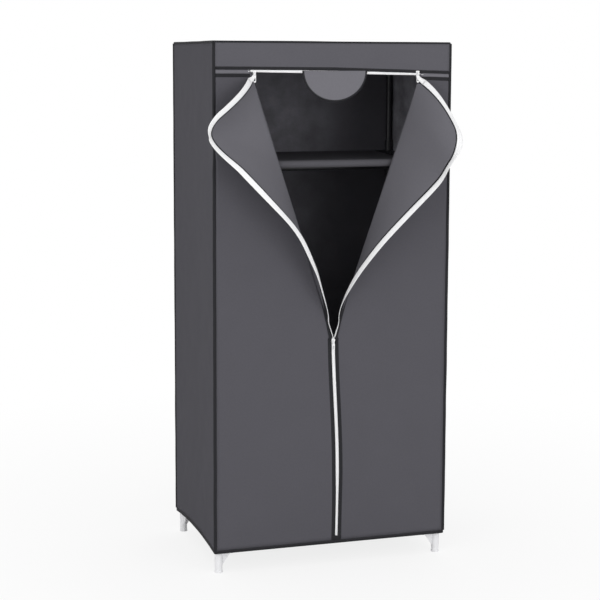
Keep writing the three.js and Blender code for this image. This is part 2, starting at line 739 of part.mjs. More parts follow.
function sliderSolid() {
  const half = slider.width / 2;
  const waist = half * slider.waistShare;
  const top = slider.length / 2;
  const outline = new THREE.Shape();
  outline.moveTo(-waist, -top);
  outline.lineTo(waist, -top);
  outline.quadraticCurveTo(waist, 0, half, top / 2);
  outline.lineTo(half, top - half / 2);
  outline.quadraticCurveTo(half, top, half / 2, top);
  outline.lineTo(-half / 2, top);
  outline.quadraticCurveTo(-half, top, -half, top - half / 2);
  outline.lineTo(-half, top / 2);
  outline.quadraticCurveTo(-waist, 0, -waist, -top);
  const body = plate(outline, slider.plate);

  const reach = slider.plate + slider.archRise;
  const legTop = slider.archLength / 2;
  const bow = new THREE.Shape([
    new THREE.Vector2(slider.plate / 2, -legTop),
    new THREE.Vector2(reach - slider.archWall, -legTop),
    new THREE.Vector2(reach, -legTop + slider.archWall),
    new THREE.Vector2(reach, legTop - slider.archWall),
    new THREE.Vector2(reach - slider.archWall, legTop),
    new THREE.Vector2(slider.plate / 2, legTop),
    new THREE.Vector2(slider.plate / 2, legTop - slider.archWall),
    new THREE.Vector2(reach - slider.archWall, legTop - slider.archWall),
    new THREE.Vector2(reach - slider.archWall, -legTop + slider.archWall),
    new THREE.Vector2(slider.plate / 2, -legTop + slider.archWall),
  ]);
  const arch = new THREE.ExtrudeGeometry(bow, { depth: slider.archWidth, steps: 1, bevelEnabled: false })
    .applyMatrix4(new THREE.Matrix4().makeBasis(
      new THREE.Vector3(0, -1, 0), new THREE.Vector3(0, 0, 1), new THREE.Vector3(-1, 0, 0)))
    .translate(slider.archWidth / 2, 0, 0);
  return joined([body, arch]);
}

// The pull hangs from the bow; its pivot is the middle of its strap.
const pivotOut = slider.plate + (slider.archRise - slider.archWall) / 2;
const pivotUp = -slider.archLength / 2 + slider.archWall + clearance + pull.strap / 2;

function pullGeometry() {
  const half = pull.width / 2;
  const top = pull.strap / 2;
  const neck = slider.archWidth / 2 + clearance + pull.strap / 2;
  const eyeHalf = slider.archWidth / 2 + clearance;
  const low = top - pull.length;
  const outline = new THREE.Shape();
  outline.moveTo(-neck, top);
  outline.lineTo(-neck, -pull.eyeLength);
  outline.lineTo(-half, -pull.eyeLength - pull.strap);
  outline.absarc(0, low + half, half, Math.PI, 2 * Math.PI, false);
  outline.lineTo(half, -pull.eyeLength - pull.strap);
  outline.lineTo(neck, -pull.eyeLength);
  outline.lineTo(neck, top);
  const eye = [[-eyeHalf, -top], [eyeHalf, -top], [eyeHalf, -top - pull.eyeLength], [-eyeHalf, -top - pull.eyeLength]];
  const grip = half - pull.gripBorder;
  const gripLow = low + half + clearance;
  const slot = [[-grip, gripLow], [grip, gripLow], [grip, gripLow + pull.gripLength], [-grip, gripLow + pull.gripLength]];
  for (const hole of [eye, slot]) outline.holes.push(new THREE.Path(hole.map(([x, z]) => new THREE.Vector2(x, z))));
  return toGeometry(toSolid(plate(outline, pull.thickness).translate(0, pull.thickness / 2, 0)));
}

const sliderGeometry = toGeometry(sliderSolid());
const headerSliderZ = headerLow - clearance - slider.length / 2;
const zipSliderZ = front.foldBottomHeight - slider.length / 2 - clearance;
const sliderPlaces = [
  ['zip', zipX(zipSliderZ), zipSliderZ],
  ['header_left', slider.width / 2 - front.foldTopLeft, headerSliderZ],
  ['header_right', front.foldTopRight - slider.width / 2, headerSliderZ],
];

for (const [name, x, z] of sliderPlaces) {
  const back = -(frontFace + zip.chainRise + clearance);
  addNode(`${name}_slider`, sliderGeometry.clone().translate(x, back, z), paint.zipMetal);
  addNode(`${name}_pull`, pullGeometry().translate(x, back - pivotOut, z + pivotUp), paint.zipMetal);
}

const centre = new THREE.Box3().setFromObject(wardrobe).getCenter(new THREE.Vector3());
wardrobe.position.set(-centre.x, -centre.y, 0);

export default wardrobe;
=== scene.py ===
import math
import bpy
import numpy as np
from mathutils import Matrix, Vector, noise


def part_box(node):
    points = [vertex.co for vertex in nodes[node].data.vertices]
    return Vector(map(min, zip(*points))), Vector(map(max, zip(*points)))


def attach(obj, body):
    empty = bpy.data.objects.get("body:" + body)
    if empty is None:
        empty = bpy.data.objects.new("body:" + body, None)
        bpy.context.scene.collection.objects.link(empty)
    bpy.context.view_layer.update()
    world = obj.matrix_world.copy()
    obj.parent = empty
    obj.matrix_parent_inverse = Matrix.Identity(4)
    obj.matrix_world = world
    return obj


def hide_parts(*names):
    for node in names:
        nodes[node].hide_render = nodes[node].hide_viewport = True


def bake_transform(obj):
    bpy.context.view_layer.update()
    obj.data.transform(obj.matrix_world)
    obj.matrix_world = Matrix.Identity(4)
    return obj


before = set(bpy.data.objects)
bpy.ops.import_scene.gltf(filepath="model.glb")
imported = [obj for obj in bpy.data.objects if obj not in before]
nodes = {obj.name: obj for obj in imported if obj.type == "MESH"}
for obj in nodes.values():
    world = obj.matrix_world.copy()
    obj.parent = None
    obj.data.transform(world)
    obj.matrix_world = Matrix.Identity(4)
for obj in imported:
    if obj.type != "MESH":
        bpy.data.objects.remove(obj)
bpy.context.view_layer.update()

roofLow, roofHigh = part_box("roof_panel")
middle = Vector(((roofLow.x + roofHigh.x) / 2, (roofLow.y + roofHigh.y) / 2, 0))
print("frame loaded, cabinet centre", round(middle.x, 4), round(middle.y, 4))

# Sizes of the cabinet, in metres from its centre on the floor
cabinet = {
    "sideFace": 0.373, "frontFace": 0.248, "roofFace": 1.598, "halfWidth": 0.375, "halfDepth": 0.25,
    "height": 1.6, "cloth": 0.0011, "railY": 0.2239, "shelfHeight": 1.2354, "baseHeight": 0.07,
}
toRight, toFront, toTop = (1, 0, 0), (0, -1, 0), (0, 0, 1)


# Camera

camera = {"lens": 94.788, "sensor": 36, "azimuth": 18.19, "distance": 4.964, "height": 1.543,
          "yaw": -0.289, "pitch": 7.344, "roll": 0.22, "shiftY": -0.06, "sight": 60}


def makeCamera():
    data = bpy.data.cameras.new("camera")
    data.lens = camera["lens"]
    data.sensor_width = camera["sensor"]
    data.shift_y = camera["shiftY"]
    data.clip_end = camera["sight"]
    azimuth, yaw, pitch, roll = (math.radians(camera[k]) for k in ("azimuth", "yaw", "pitch", "roll"))
    ahead = Vector((math.sin(azimuth), math.cos(azimuth), 0))
    right = Vector((math.cos(azimuth), -math.sin(azimuth), 0))
    turned = ahead * math.cos(yaw) + right * math.sin(yaw)
    right = right * math.cos(yaw) - ahead * math.sin(yaw)
    look = turned * math.cos(pitch) - Vector((0, 0, math.sin(pitch)))
    up = right.cross(look)
    right, up = right * math.cos(roll) + up * math.sin(roll), up * math.cos(roll) - right * math.sin(roll)
    place = middle - ahead * camera["distance"] + Vector((0, 0, camera["height"]))
    body = bpy.data.objects.new("camera", data)
    body.matrix_world = Matrix.Translation(place) @ Matrix((right, up, -look)).transposed().to_4x4()
    bpy.context.scene.collection.objects.link(body)
    bpy.context.scene.camera = body


makeCamera()


# Helpers for node trees

# Adds a node. Settings are its own properties, and inputs maps a socket to a value or to what feeds it
def addNode(tree, kind, inputs=None, **settings):
    node = tree.nodes.new(kind)
    for name, value in settings.items():
        setattr(node, name, value)
    for key, value in (inputs or {}).items():
        if isinstance(value, bpy.types.NodeSocket):
            tree.links.new(value, node.inputs[key])
        else:
            node.inputs[key].default_value = value
    return node


def mathNode(tree, operation, first, second=0.0):
    return addNode(tree, "ShaderNodeMath", {0: first, 1: second}, operation=operation).outputs[0]


# Functions that add, subtract and multiply two values in a tree
def arithmetic(tree):
    def doing(operation):
        return lambda first, second: mathNode(tree, operation, first, second)
    return doing("ADD"), doing("SUBTRACT"), doing("MULTIPLY")


def noiseNode(tree, vector, scale, detail, rough):
    inputs = {"Vector": vector, "Scale": scale, "Detail": detail, "Roughness": rough}
    return addNode(tree, "ShaderNodeTexNoise", inputs).outputs["Fac"]


def emptyMaterial(name):
    material = bpy.data.materials.new(name)
    material.use_nodes = True
    material.node_tree.nodes.clear()
    return material, material.node_tree


# Light, floor and background

light = {"world": 0.80, "lampSize": 2.4}
# Each lamp has its place, the height that it is aimed at and its watts
lamps = {
    "leftLamp": ((-3.0, -3.0, 1.8), 0.95, 36),
    "frontLamp": ((1.2, -3.8, 1.7), 0.95, 32),
    "topLamp": ((0.0, 0.6, 3.8), 1.0, 8),
    "backLamp": ((2.4, 3.4, 1.8), 0.95, 22),
}
ground = {"side": 14, "grey": 0.86, "fadeFrom": 0.7, "fadeTo": 2.4, "glowNear": 0.82, "glowFar": 1.0}


def makeLight():
    scene = bpy.context.scene
    scene.view_settings.view_transform = "Standard"
    scene.world = bpy.data.worlds.new("studio")
    scene.world.use_nodes = True
    tree = scene.world.node_tree
    tree.nodes.clear()
    rays = addNode(tree, "ShaderNodeLightPath").outputs
    seen = mathNode(tree, "MAXIMUM", rays["Is Camera Ray"], rays["Is Glossy Ray"])
    seen = mathNode(tree, "MAXIMUM", seen, rays["Is Transmission Ray"])
    strength = addNode(tree, "ShaderNodeMapRange", {"Value": seen, "To Min": light["world"], "To Max": 1})
    back = addNode(tree, "ShaderNodeBackground", {"Color": (1, 1, 1, 1), "Strength": strength.outputs[0]})
    addNode(tree, "ShaderNodeOutputWorld", {"Surface": back.outputs[0]})
    for name, (place, aimHeight, watts) in lamps.items():
        data = bpy.data.lights.new(name, "AREA")
        data.shape = "RECTANGLE"
        data.size = data.size_y = light["lampSize"]
        data.energy = watts
        lamp = bpy.data.objects.new(name, data)
        lamp.location = middle + Vector(place)
        aim = Vector((0, 0, aimHeight)) - Vector(place)
        lamp.rotation_euler = aim.to_track_quat("-Z", "Y").to_euler()
        scene.collection.objects.link(lamp)


def makeFloor():
    side = ground["side"]
    mesh = bpy.data.meshes.new("floor")
    corners = [(-side, -side, 0), (side, -side, 0), (side, side, 0), (-side, side, 0)]
    mesh.from_pydata(corners, [], [range(4)])
    floor = bpy.data.objects.new("floor", mesh)
    floor.location = middle
    bpy.context.scene.collection.objects.link(floor)
    material, tree = emptyMaterial("paleFloor")
    place = addNode(tree, "ShaderNodeTexCoord").outputs["Object"]
    far = addNode(tree, "ShaderNodeVectorMath", {0: place}, operation="LENGTH").outputs["Value"]
    fade = addNode(tree, "ShaderNodeMapRange", {
        "Value": far, "From Min": ground["fadeFrom"], "From Max": ground["fadeTo"],
        "To Min": ground["glowNear"], "To Max": ground["glowFar"]}).outputs[0]
    share = mathNode(tree, "MULTIPLY", fade, addNode(tree, "ShaderNodeLightPath").outputs["Is Camera Ray"])
    matt = addNode(tree, "ShaderNodeBsdfDiffuse", {"Color": (*[ground["grey"]] * 3, 1)})
    glow = addNode(tree, "ShaderNodeEmission", {"Strength": 1})
    mix = addNode(tree, "ShaderNodeMixShader", {"Fac": share, 1: matt.outputs[0], 2: glow.outputs[0]})
    addNode(tree, "ShaderNodeOutputMaterial", {"Surface": mix.outputs[0]})
    mesh.materials.append(material)


makeLight()
makeFloor()
print("camera, light and floor made")


# Shader groups shared by the materials

# Scale, detail and roughness of their noises
grains = {"fibres": (900, 4, 0.65), "tufts": (160, 3, 0.6), "broad": (9, 4, 0.6), "fuzz": (1400, 3, 0.6),
          "soil": (22, 4, 0.6), "patches": (40, 4, 0.6), "dust": (120, 5, 0.7)}


# Takes a place, a colour and the named values, and gives a colour, a roughness and a height
def surfaceGroup(name, values):
    group = bpy.data.node_groups.new(name, "ShaderNodeTree")
    group.interface.new_socket(name="Vector", in_out="INPUT", socket_type="NodeSocketVector")
    group.interface.new_socket(name="Colour", in_out="INPUT", socket_type="NodeSocketColor")
    for title, value in values.items():
        socket = group.interface.new_socket(name=title, in_out="INPUT", socket_type="NodeSocketFloat")
        socket.default_value = value
    group.interface.new_socket(name="Colour", in_out="OUTPUT", socket_type="NodeSocketColor")
    for title in ("Roughness", "Height"):
        group.interface.new_socket(name=title, in_out="OUTPUT", socket_type="NodeSocketFloat")
    return group, group.nodes.new("NodeGroupInput").outputs


def finishGroup(group, start, shade, roughness, height):
    tone = addNode(group, "ShaderNodeVectorMath", {0: start["Colour"], "Scale": shade}, operation="SCALE")
    addNode(group, "NodeGroupOutput", {"Colour": tone.outputs[0], "Roughness": roughness, "Height": height})
    return group


# Bonded non-woven cloth: a lattice of pressed dots, short fibres and broad mottling. On the inner face the
# broad mottling is strong painted light and shade
def makeFeltGroup():
    group, start = surfaceGroup("feltedCloth", {
        "Dot Pitch": 0.0022, "Dots": 0.1, "Fibre": 0.1, "Mottle": 0.06, "Inner": 0.0, "Inner Painted Light": 2.2})
    add, subtract, times = arithmetic(group)
    place = addNode(group, "ShaderNodeSeparateXYZ", {0: start["Vector"]}).outputs
    turnRate = mathNode(group, "DIVIDE", 2 * math.pi, start["Dot Pitch"])
    waveA = mathNode(group, "SINE", times(add(place["X"], place["Y"]), turnRate))
    waveB = mathNode(group, "SINE", times(subtract(place["X"], place["Y"]), turnRate))
    limits = {"Value": times(waveA, waveB), "From Min": 0.15, "From Max": 0.75}
    pressed = addNode(group, "ShaderNodeMapRange", limits, interpolation_type="SMOOTHSTEP").outputs[0]
    fibres = noiseNode(group, start["Vector"], *grains["fibres"])
    tufts = noiseNode(group, start["Vector"], *grains["tufts"])
    broad = noiseNode(group, start["Vector"], *grains["broad"])
    fibreShade = times(subtract(add(fibres, tufts), 1.0), start["Fibre"])
    # Broad mottling: the cloth's own on both faces, plus strong painted light and shade on the inner face
    mottleAndPaintedLight = add(start["Mottle"], times(start["Inner"], start["Inner Painted Light"]))
    shade = add(add(fibreShade, times(subtract(broad, 0.5), mottleAndPaintedLight)), 1.0)
    shade = subtract(shade, times(pressed, start["Dots"]))
    height = subtract(times(fibres, 0.35), times(pressed, 0.65))
    return finishGroup(group, start, shade, subtract(0.96, times(pressed, 0.12)), height)


# Narrow woven tape: ribs across the tape and a fine twill
def makeTapeGroup():
    group, start = surfaceGroup("wovenTape", {"Rib Pitch": 0.0012, "Ribs": 0.15, "Soil": 0.05})
    add, subtract, times = arithmetic(group)
    place = addNode(group, "ShaderNodeSeparateXYZ", {0: start["Vector"]}).outputs
    turnRate = mathNode(group, "DIVIDE", 2 * math.pi, start["Rib Pitch"])
    warp = mathNode(group, "SINE", times(place["X"], turnRate))
    weft = mathNode(group, "SINE", times(add(place["X"], times(place["Y"], 1.6)), turnRate))
    weave = add(add(times(warp, 0.25), times(weft, 0.25)), 0.5)
    fuzz = noiseNode(group, start["Vector"], *grains["fuzz"])
    soil = noiseNode(group, start["Vector"], *grains["soil"])
    shade = subtract(1.0, times(subtract(1.0, weave), start["Ribs"]))
    shade = subtract(shade, times(soil, start["Soil"]))
    height = add(times(weave, 0.8), times(fuzz, 0.2))
    return finishGroup(group, start, shade, add(0.72, times(fuzz, 0.2)), height)


# Moulded or enamelled hard surface: faint orange peel, dulled patches and dust in the hollows
def makeCoatGroup():
    group, start = surfaceGroup("hardCoat", {"Peel Scale": 700.0, "Dull": 0.2, "Dust": 0.08})
    add, subtract, times = arithmetic(group)
    peel = noiseNode(group, start["Vector"], start["Peel Scale"], 2, 0.5)
    patches = noiseNode(group, start["Vector"], *grains["patches"])
    dust = noiseNode(group, start["Vector"], *grains["dust"])
    shade = subtract(1.0, times(dust, start["Dust"]))
    return finishGroup(group, start, shade, add(0.3, times(patches, start["Dull"])), peel)


feltGroup = makeFeltGroup()
tapeGroup = makeTapeGroup()
coatGroup = makeCoatGroup()


# Materials

def linear(colour):
    def one(value):
        value /= 255
        return value / 12.92 if value <= 0.04045 else ((value + 0.055) / 1.055) ** 2.4
    return (*(one(value) for value in colour), 1)


# Bump is its strength and its distance in metres. Cloth with an inside colour has it on its inner face, where
# its extra lightness is painted light
def makeMaterial(name, group, colour, values, coordinates, bump, specular, inside=None, paintedInnerMottle=False):
    material, tree = emptyMaterial(name)
    place = addNode(tree, "ShaderNodeTexCoord").outputs[coordinates]
    inputs = {"Vector": place, "Colour": linear(colour), **values}
    effect = addNode(tree, "ShaderNodeGroup", inputs, node_tree=group)
    if inside:
        side = addNode(tree, "ShaderNodeAttribute", attribute_name="innerSide").outputs["Fac"]
        pick = addNode(tree, "ShaderNodeMix", {"A": linear(colour), "B": linear(inside), "Factor": side},
                       data_type="RGBA")
        tree.links.new(pick.outputs["Result"], effect.inputs["Colour"])
        if paintedInnerMottle:
            tree.links.new(side, effect.inputs["Inner"])
    raised = addNode(tree, "ShaderNodeBump", {
        "Strength": bump[0], "Distance": bump[1], "Height": effect.outputs["Height"]})
    shader = addNode(tree, "ShaderNodeBsdfPrincipled", {
        "Specular IOR Level": specular, "Base Color": effect.outputs["Colour"],
        "Roughness": effect.outputs["Roughness"], "Normal": raised.outputs["Normal"]})
    addNode(tree, "ShaderNodeOutputMaterial", {"Surface": shader.outputs[0]})
    return material


def feltLook(name, colour, inside=None, paintedInnerMottle=False, dots=0.10, fibre=0.16, mottle=0.08):
    values = {"Dot Pitch": 0.0026, "Dots": dots, "Fibre": fibre, "Mottle": mottle}
    return makeMaterial(name, feltGroup, colour, values, "UV", (0.25, 0.0004), 0.25, inside, paintedInnerMottle)


def tapeLook(name, colour, pitch, ribs, soil, specular):
    values = {"Rib Pitch": pitch, "Ribs": ribs, "Soil": soil}
    return makeMaterial(name, tapeGroup, colour, values, "UV", (0.25, 0.0004), specular)


def hardLook(name, colour, dust, dull, bump=(0.1, 0.0001)):
    return makeMaterial(name, coatGroup, colour, {"Dust": dust, "Dull": dull}, "Object", bump, 0.5)


# Each inside colour is lighter than its cloth's outer colour: painted light on inner faces of the same cloth
insidePaintedLight = (124, 123, 131)
frontGrey = (82, 81, 87)
tapeWhite = (247, 247, 248)
looks = {
    "front": feltLook("frontCloth", frontGrey, insidePaintedLight, True),
    # The side and back cloth is darker outside than the front cloth: painted shade of faces turned from the
    # light
    "side": feltLook("sideCloth", (70, 69, 75), (152, 151, 159), True, dots=0.16, mottle=0.12),
    "header": feltLook("headerCloth", (89, 88, 94), insidePaintedLight, dots=0.13),
    "flap": feltLook("flapCloth", frontGrey, (102, 101, 107), fibre=0.1),
    "tab": feltLook("tabCloth", (110, 109, 115)),
    "shelf": feltLook("shelfCloth", (82, 81, 86)),
    "binding": tapeLook("bindingTape", (34, 34, 38), 0.0014, 0.3, 0.05, 0.3),
    "tape": tapeLook("zipTape", tapeWhite, 0.001, 0.08, 0.02, 0.35),
    "coil": hardLook("zipCoil", tapeWhite, 0.04, 0.15),
    "enamel": hardLook("zipEnamel", (240, 240, 241), 0.05, 0.15),
    "plastic": hardLook("footPlastic", (238, 238, 240), 0.04, 0.3, (0.1, 0.0002)),
    # The tubes' dark grey is painted shade, so that posts and rail read as the shadow lines inside; the real
    # tubes are light grey
    "tube": hardLook("tubeEnamelPaintedShade", (40, 40, 44), 0.2, 0.25, (0.15, 0.0002)),
    "darkPlastic": hardLook("cornerPlastic", (38, 38, 42), 0.15, 0.3, (0.15, 0.0002)),
    "thread": hardLook("thread", (60, 59, 64), 0.2, 0.4),
    "whiteThread": hardLook("whiteThread", (226, 226, 228), 0.2, 0.4),
}
print("materials made:", len(looks))


# Look of a rigid CAD node, or None where a piece of the scene takes its place
def lookOfNode(node):
    if node.startswith("foot_connector"):
        return "plastic"
    if node.startswith(("shelf_connector", "top_connector", "rail_hanger")):
        return "darkPlastic"
    if node.endswith(("_slider", "_pull")):
        return "enamel"
    if "post" in node or "rail" in node:
        return "tube"
    return None


for node in nodes:
    if lookOfNode(node):
        for slot in nodes[node].material_slots:
            slot.material = looks[lookOfNode(node)]


# Makers of cloth, swept trim and stitches

# Moves points, given in metres from the cabinet's centre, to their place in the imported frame
def settled(points):
    return np.asarray(points, float) + np.array([middle.x, middle.y, 0])


def stacked(*parts):
    return np.stack(np.broadcast_arrays(*parts), -1)


def unit(vectors):
    return vectors / np.maximum(np.linalg.norm(vectors, axis=-1, keepdims=True), 1e-12)


# Smooth rise from 0 to 1
def eased(share):
    share = np.clip(share, 0, 1)
    return share * share * (3 - 2 * share)


# Distance from the start of a line of points to each of them
def runAlong(points):
    return np.concatenate([[0], np.cumsum(np.linalg.norm(np.diff(points, axis=0), axis=1))])


def finishMesh(name, points, faces, uvs, look, inner=None):
    mesh = bpy.data.meshes.new(name)
    mesh.from_pydata(points.tolist(), [], faces)
    layer = mesh.uv_layers.new(name="flatCloth")
    corner = np.zeros(len(mesh.loops), int)
    mesh.loops.foreach_get("vertex_index", corner)
    layer.data.foreach_set("uv", np.asarray(uvs, np.float32).reshape(-1, 2)[corner].ravel())
    if inner is not None:
        side = mesh.attributes.new("innerSide", "FLOAT", "POINT")
        side.data.foreach_set("value", np.asarray(inner, np.float32))
    mesh.materials.append(looks[look])
    mesh.polygons.foreach_set("use_smooth", np.ones(len(mesh.polygons), bool))
    mesh.update()
    piece = bpy.data.objects.new(name, mesh)
    bpy.context.scene.collection.objects.link(piece)
    return piece


# Turned round where need be, so that their normals point outward
def outwardFaces(points, quads, caps):
    a, b, c, d = (points[quads[:, k]] for k in range(4))
    volume = np.einsum("ij,ij->i", a, np.cross(b, c)) + np.einsum("ij,ij->i", a, np.cross(c, d))
    faces = quads.tolist() + caps
    return [face[::-1] for face in faces] if volume.sum() < 0 else faces


# middleSheet is a grid of points, rows by columns, and flat holds the same points on the uncut cloth.
# innerShare is how much of the inside colour each point of the inner face has
def clothSheet(name, middleSheet, flat, look, thick=cabinet["cloth"], innerShare=None):
    sheet = settled(middleSheet)
    rows, columns, _ = sheet.shape
    normals = unit(np.cross(np.gradient(sheet, axis=1), np.gradient(sheet, axis=0)))
    layers = [sheet + normals * (thick / 2), sheet - normals * (thick / 2)]
    points = np.concatenate([layer.reshape(-1, 3) for layer in layers])
    count = rows * columns
    index = np.arange(count).reshape(rows, columns)
    corners = index[:-1, :-1], index[:-1, 1:], index[1:, 1:], index[1:, :-1]
    front = stacked(*corners).reshape(-1, 4)
    rim = np.concatenate([index[0], index[1:, -1], index[-1, -2::-1], index[-2:0:-1, 0]])
    after = np.roll(rim, -1)
    border = stacked(after, rim, rim + count, after + count)
    faces = outwardFaces(points, np.concatenate([front, front[:, ::-1] + count, border]), [])
    inside = np.ones(count) if innerShare is None else innerShare.ravel()
    uvs = np.concatenate([np.asarray(flat, float).reshape(-1, 2)] * 2)
    return finishMesh(name, points, faces, uvs, look, np.concatenate([np.zeros(count), inside]))


# A closed or open strip swept along a path. Outward and upward are directions, one for all its points or
# one for each, and section is a list of offsets along them, going round once
def sweptStrip(name, path, outward, upward, section, look, closed, uvWidth=0.02):
    path, section = settled(path), np.asarray(section, float)
    outward, upward = (np.broadcast_to(np.asarray(way, float), path.shape) for way in (outward, upward))
    count, sides = len(path), len(section)
    rings = path[:, None] + outward[:, None] * section[:, :1] + upward[:, None] * section[:, 1:]
    points = rings.reshape(-1, 3)
    uvs = stacked(runAlong(path)[:, None], uvWidth * np.arange(sides) / sides)
    index = np.arange(count * sides).reshape(count, sides)
    here, after = (index, np.roll(index, -1, axis=0)) if closed else (index[:-1], index[1:])
    quads = stacked(here, after, np.roll(after, -1, axis=1), np.roll(here, -1, axis=1)).reshape(-1, 4)
    caps = [] if closed else [index[0, ::-1].tolist(), index[-1].tolist()]
    return finishMesh(name, points, outwardFaces(points, quads, caps), uvs, look)


# Ribbon with softened edges: sideways and normal are the directions of its width and its thickness
def ribbon(name, path, width, thick, look="binding", sideways=toTop, normal=toFront, closed=False):
    half, edge = width / 2, min(0.0008, width / 4)
    section = [(-half, 0), (-half + edge, thick / 2), (half - edge, thick / 2), (half, 0),
               (half - edge, -thick / 2), (-half + edge, -thick / 2)]
    return sweptStrip(name, path, sideways, normal, section, look, closed, width)


# Geometry Nodes: instances a small shape along a curve at an even pitch, turned with the curve
def makeRepeatTree():
    tree = bpy.data.node_groups.new("repeatAlongLine", "GeometryNodeTree")
    kinds = {"Geometry": "Geometry", "Shape": "Object", "Pitch": "Float", "Wander": "Float", "Seed": "Int",
             "Finish": "Material"}
    for title, kind in kinds.items():
        tree.interface.new_socket(name=title, in_out="INPUT", socket_type="NodeSocket" + kind)
    tree.interface.new_socket(name="Geometry", in_out="OUTPUT", socket_type="NodeSocketGeometry")
    start = tree.nodes.new("NodeGroupInput").outputs
    inputs = {"Curve": start["Geometry"], "Length": start["Pitch"]}
    along = addNode(tree, "GeometryNodeCurveToPoints", inputs, mode="LENGTH").outputs
    ends = [addNode(tree, "ShaderNodeVectorMath", {0: (sign, sign, sign), "Scale": start["Wander"]},
                    operation="SCALE").outputs[0] for sign in (-1, 1)]
    shift = addNode(tree, "FunctionNodeRandomValue", {0: ends[0], 1: ends[1], "Seed": start["Seed"]},
                    data_type="FLOAT_VECTOR").outputs[0]
    inputs = {"Geometry": along["Points"], "Offset": shift}
    moved = addNode(tree, "GeometryNodeSetPosition", inputs).outputs[0]
    shape = addNode(tree, "GeometryNodeObjectInfo", {"Object": start["Shape"]}).outputs["Geometry"]
    put = addNode(tree, "GeometryNodeInstanceOnPoints", {
        "Points": moved, "Instance": shape, "Rotation": along["Rotation"]}).outputs[0]
    real = addNode(tree, "GeometryNodeRealizeInstances", {0: put}).outputs[0]
    finish = addNode(tree, "GeometryNodeSetMaterial", {"Geometry": real, "Material": start["Finish"]})
    addNode(tree, "NodeGroupOutput", {"Geometry": finish.outputs[0]})
    return tree


repeatTree = makeRepeatTree()
sockets = repeatTree.interface.items_tree
repeatInputs = {socket.name: socket.identifier for socket in sockets if socket.in_out == "INPUT"}


# Tilt that turns a curve so that its instances' +X lies along the normal
def tiltOf(tangent, normal):
    tangent = Vector(tangent).normalized()
    level = Vector((tangent.y, -tangent.x, 0))
    level = level.normalized() if level.length > 1e-5 else Vector((1, 0, 0))
    return math.atan2(Vector(normal).dot(tangent.cross(level)), Vector(normal).dot(level))


# Each line is points with their normals, or with one normal for all of them
def repeatAlong(name, lines, shape, pitch, look, wander=0.0, seed=3):
    curve = bpy.data.curves.new(name + "Line", "CURVE")
    curve.dimensions = "3D"
    curve.twist_mode = "Z_UP"
    for points, normals in lines:
        points = settled(points)
        normals = np.broadcast_to(np.asarray(normals, float), points.shape)
        spline = curve.splines.new("POLY")
        spline.points.add(len(points) - 1)
        spline.points.foreach_set("co", np.concatenate([points, np.ones((len(points), 1))], 1).ravel())
        tilts = [tiltOf(tangent, normal) for tangent, normal in zip(np.gradient(points, axis=0), normals)]
        spline.points.foreach_set("tilt", np.unwrap(np.array(tilts)))
    holder = bpy.data.objects.new(name + "Line", curve)
    bpy.context.scene.collection.objects.link(holder)
    modifier = holder.modifiers.new("repeat", "NODES")
    modifier.node_group = repeatTree
    values = {"Shape": shape, "Pitch": pitch, "Wander": wander, "Seed": seed, "Finish": looks[look]}
    for title, value in values.items():
        modifier[repeatInputs[title]] = value
    graph = bpy.context.evaluated_depsgraph_get()
    mesh = bpy.data.meshes.new_from_object(holder.evaluated_get(graph), depsgraph=graph)
    mesh.name = name
    holder.modifiers.clear()
    bpy.data.objects.remove(holder)
    piece = bpy.data.objects.new(name, mesh)
    bpy.context.scene.collection.objects.link(piece)
    mesh.polygons.foreach_set("use_smooth", np.ones(len(mesh.polygons), bool))
    return piece


# Rounded bar that is repeated along a line: the line runs along its Z, and its X stands off the cloth
def capsuleShape(name, size):
    points, faces = [], []
    rings = [(-0.5, 0.15), (-0.36, 0.8), (0.0, 1.0), (0.36, 0.8), (0.5, 0.15)]
    sides = 5
    for along, swell in rings:
        for s in range(sides):
            angle = math.pi * s / (sides - 1)
            rise, across = math.sin(angle) * size["rise"] * swell, math.cos(angle) * size["width"] / 2 * swell
            points.append((rise, across, along * size["length"]))
    for r in range(len(rings) - 1):
        for s in range(sides):
            a, b = r * sides + s, r * sides + (s + 1) % sides
            faces.append((a, b, b + sides, a + sides))
    faces.append(tuple(range(sides - 1, -1, -1)))
    faces.append(tuple(range((len(rings) - 1) * sides, len(rings) * sides)))
    mesh = bpy.data.meshes.new(name)
    mesh.from_pydata(points, [], faces)
    mesh.update()
    shape = bpy.data.objects.new(name, mesh)
    bpy.context.scene.collection.objects.link(shape)
    shape.hide_render = True
    return shape


stitch = {"length": 0.0026, "pitch": 0.0038, "width": 0.0007, "rise": 0.00035, "wander": 0.00012, "seed": 5}
tooth = {"length": 0.0013, "pitch": 0.0022, "width": 0.0034, "rise": 0.0010}
stitchShape = capsuleShape("stitchShape", stitch)
toothShape = capsuleShape("flapTooth", tooth)
print("makers ready")


# Helpers for the cover

# Hides the CAD node that a piece replaces and hangs the piece on its body
def fasten(piece, node=None, body="cabinet"):
    if node:
        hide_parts(node)
    if body:
        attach(piece, body)
    return piece


# Takes its lines as repeatAlong does
def stitchRow(name, *lines, look="thread", slot="binding", body="cabinet"):
    piece = repeatAlong(name, lines, stitchShape, stitch["pitch"], look, stitch["wander"], stitch["seed"])
    return fasten(piece, body=body)


def teethRow(name, *lines, body="cabinet"):
    return fasten(repeatAlong(name, lines, toothShape, tooth["pitch"], "coil"), body=body)


def fieldNoise(a, b, seed, scale, seedApart=7.31):
    both = np.broadcast(a, b)
    values = [noise.noise(Vector((float(x) * scale, float(y) * scale, seed * seedApart))) for x, y in both]
    return np.array(values).reshape(both.shape)


# Waves squeezed along b, with fine wrinkles over them. Each is its height and the scale of its noise
def ripples(a, b, seed, cloth):
    waves = cloth["wave"][0] * fieldNoise(a, b * cloth["squeeze"], seed, cloth["wave"][1])
    return waves + cloth["wrinkle"][0] * fieldNoise(a, b, seed + 3, cloth["wrinkle"][1])


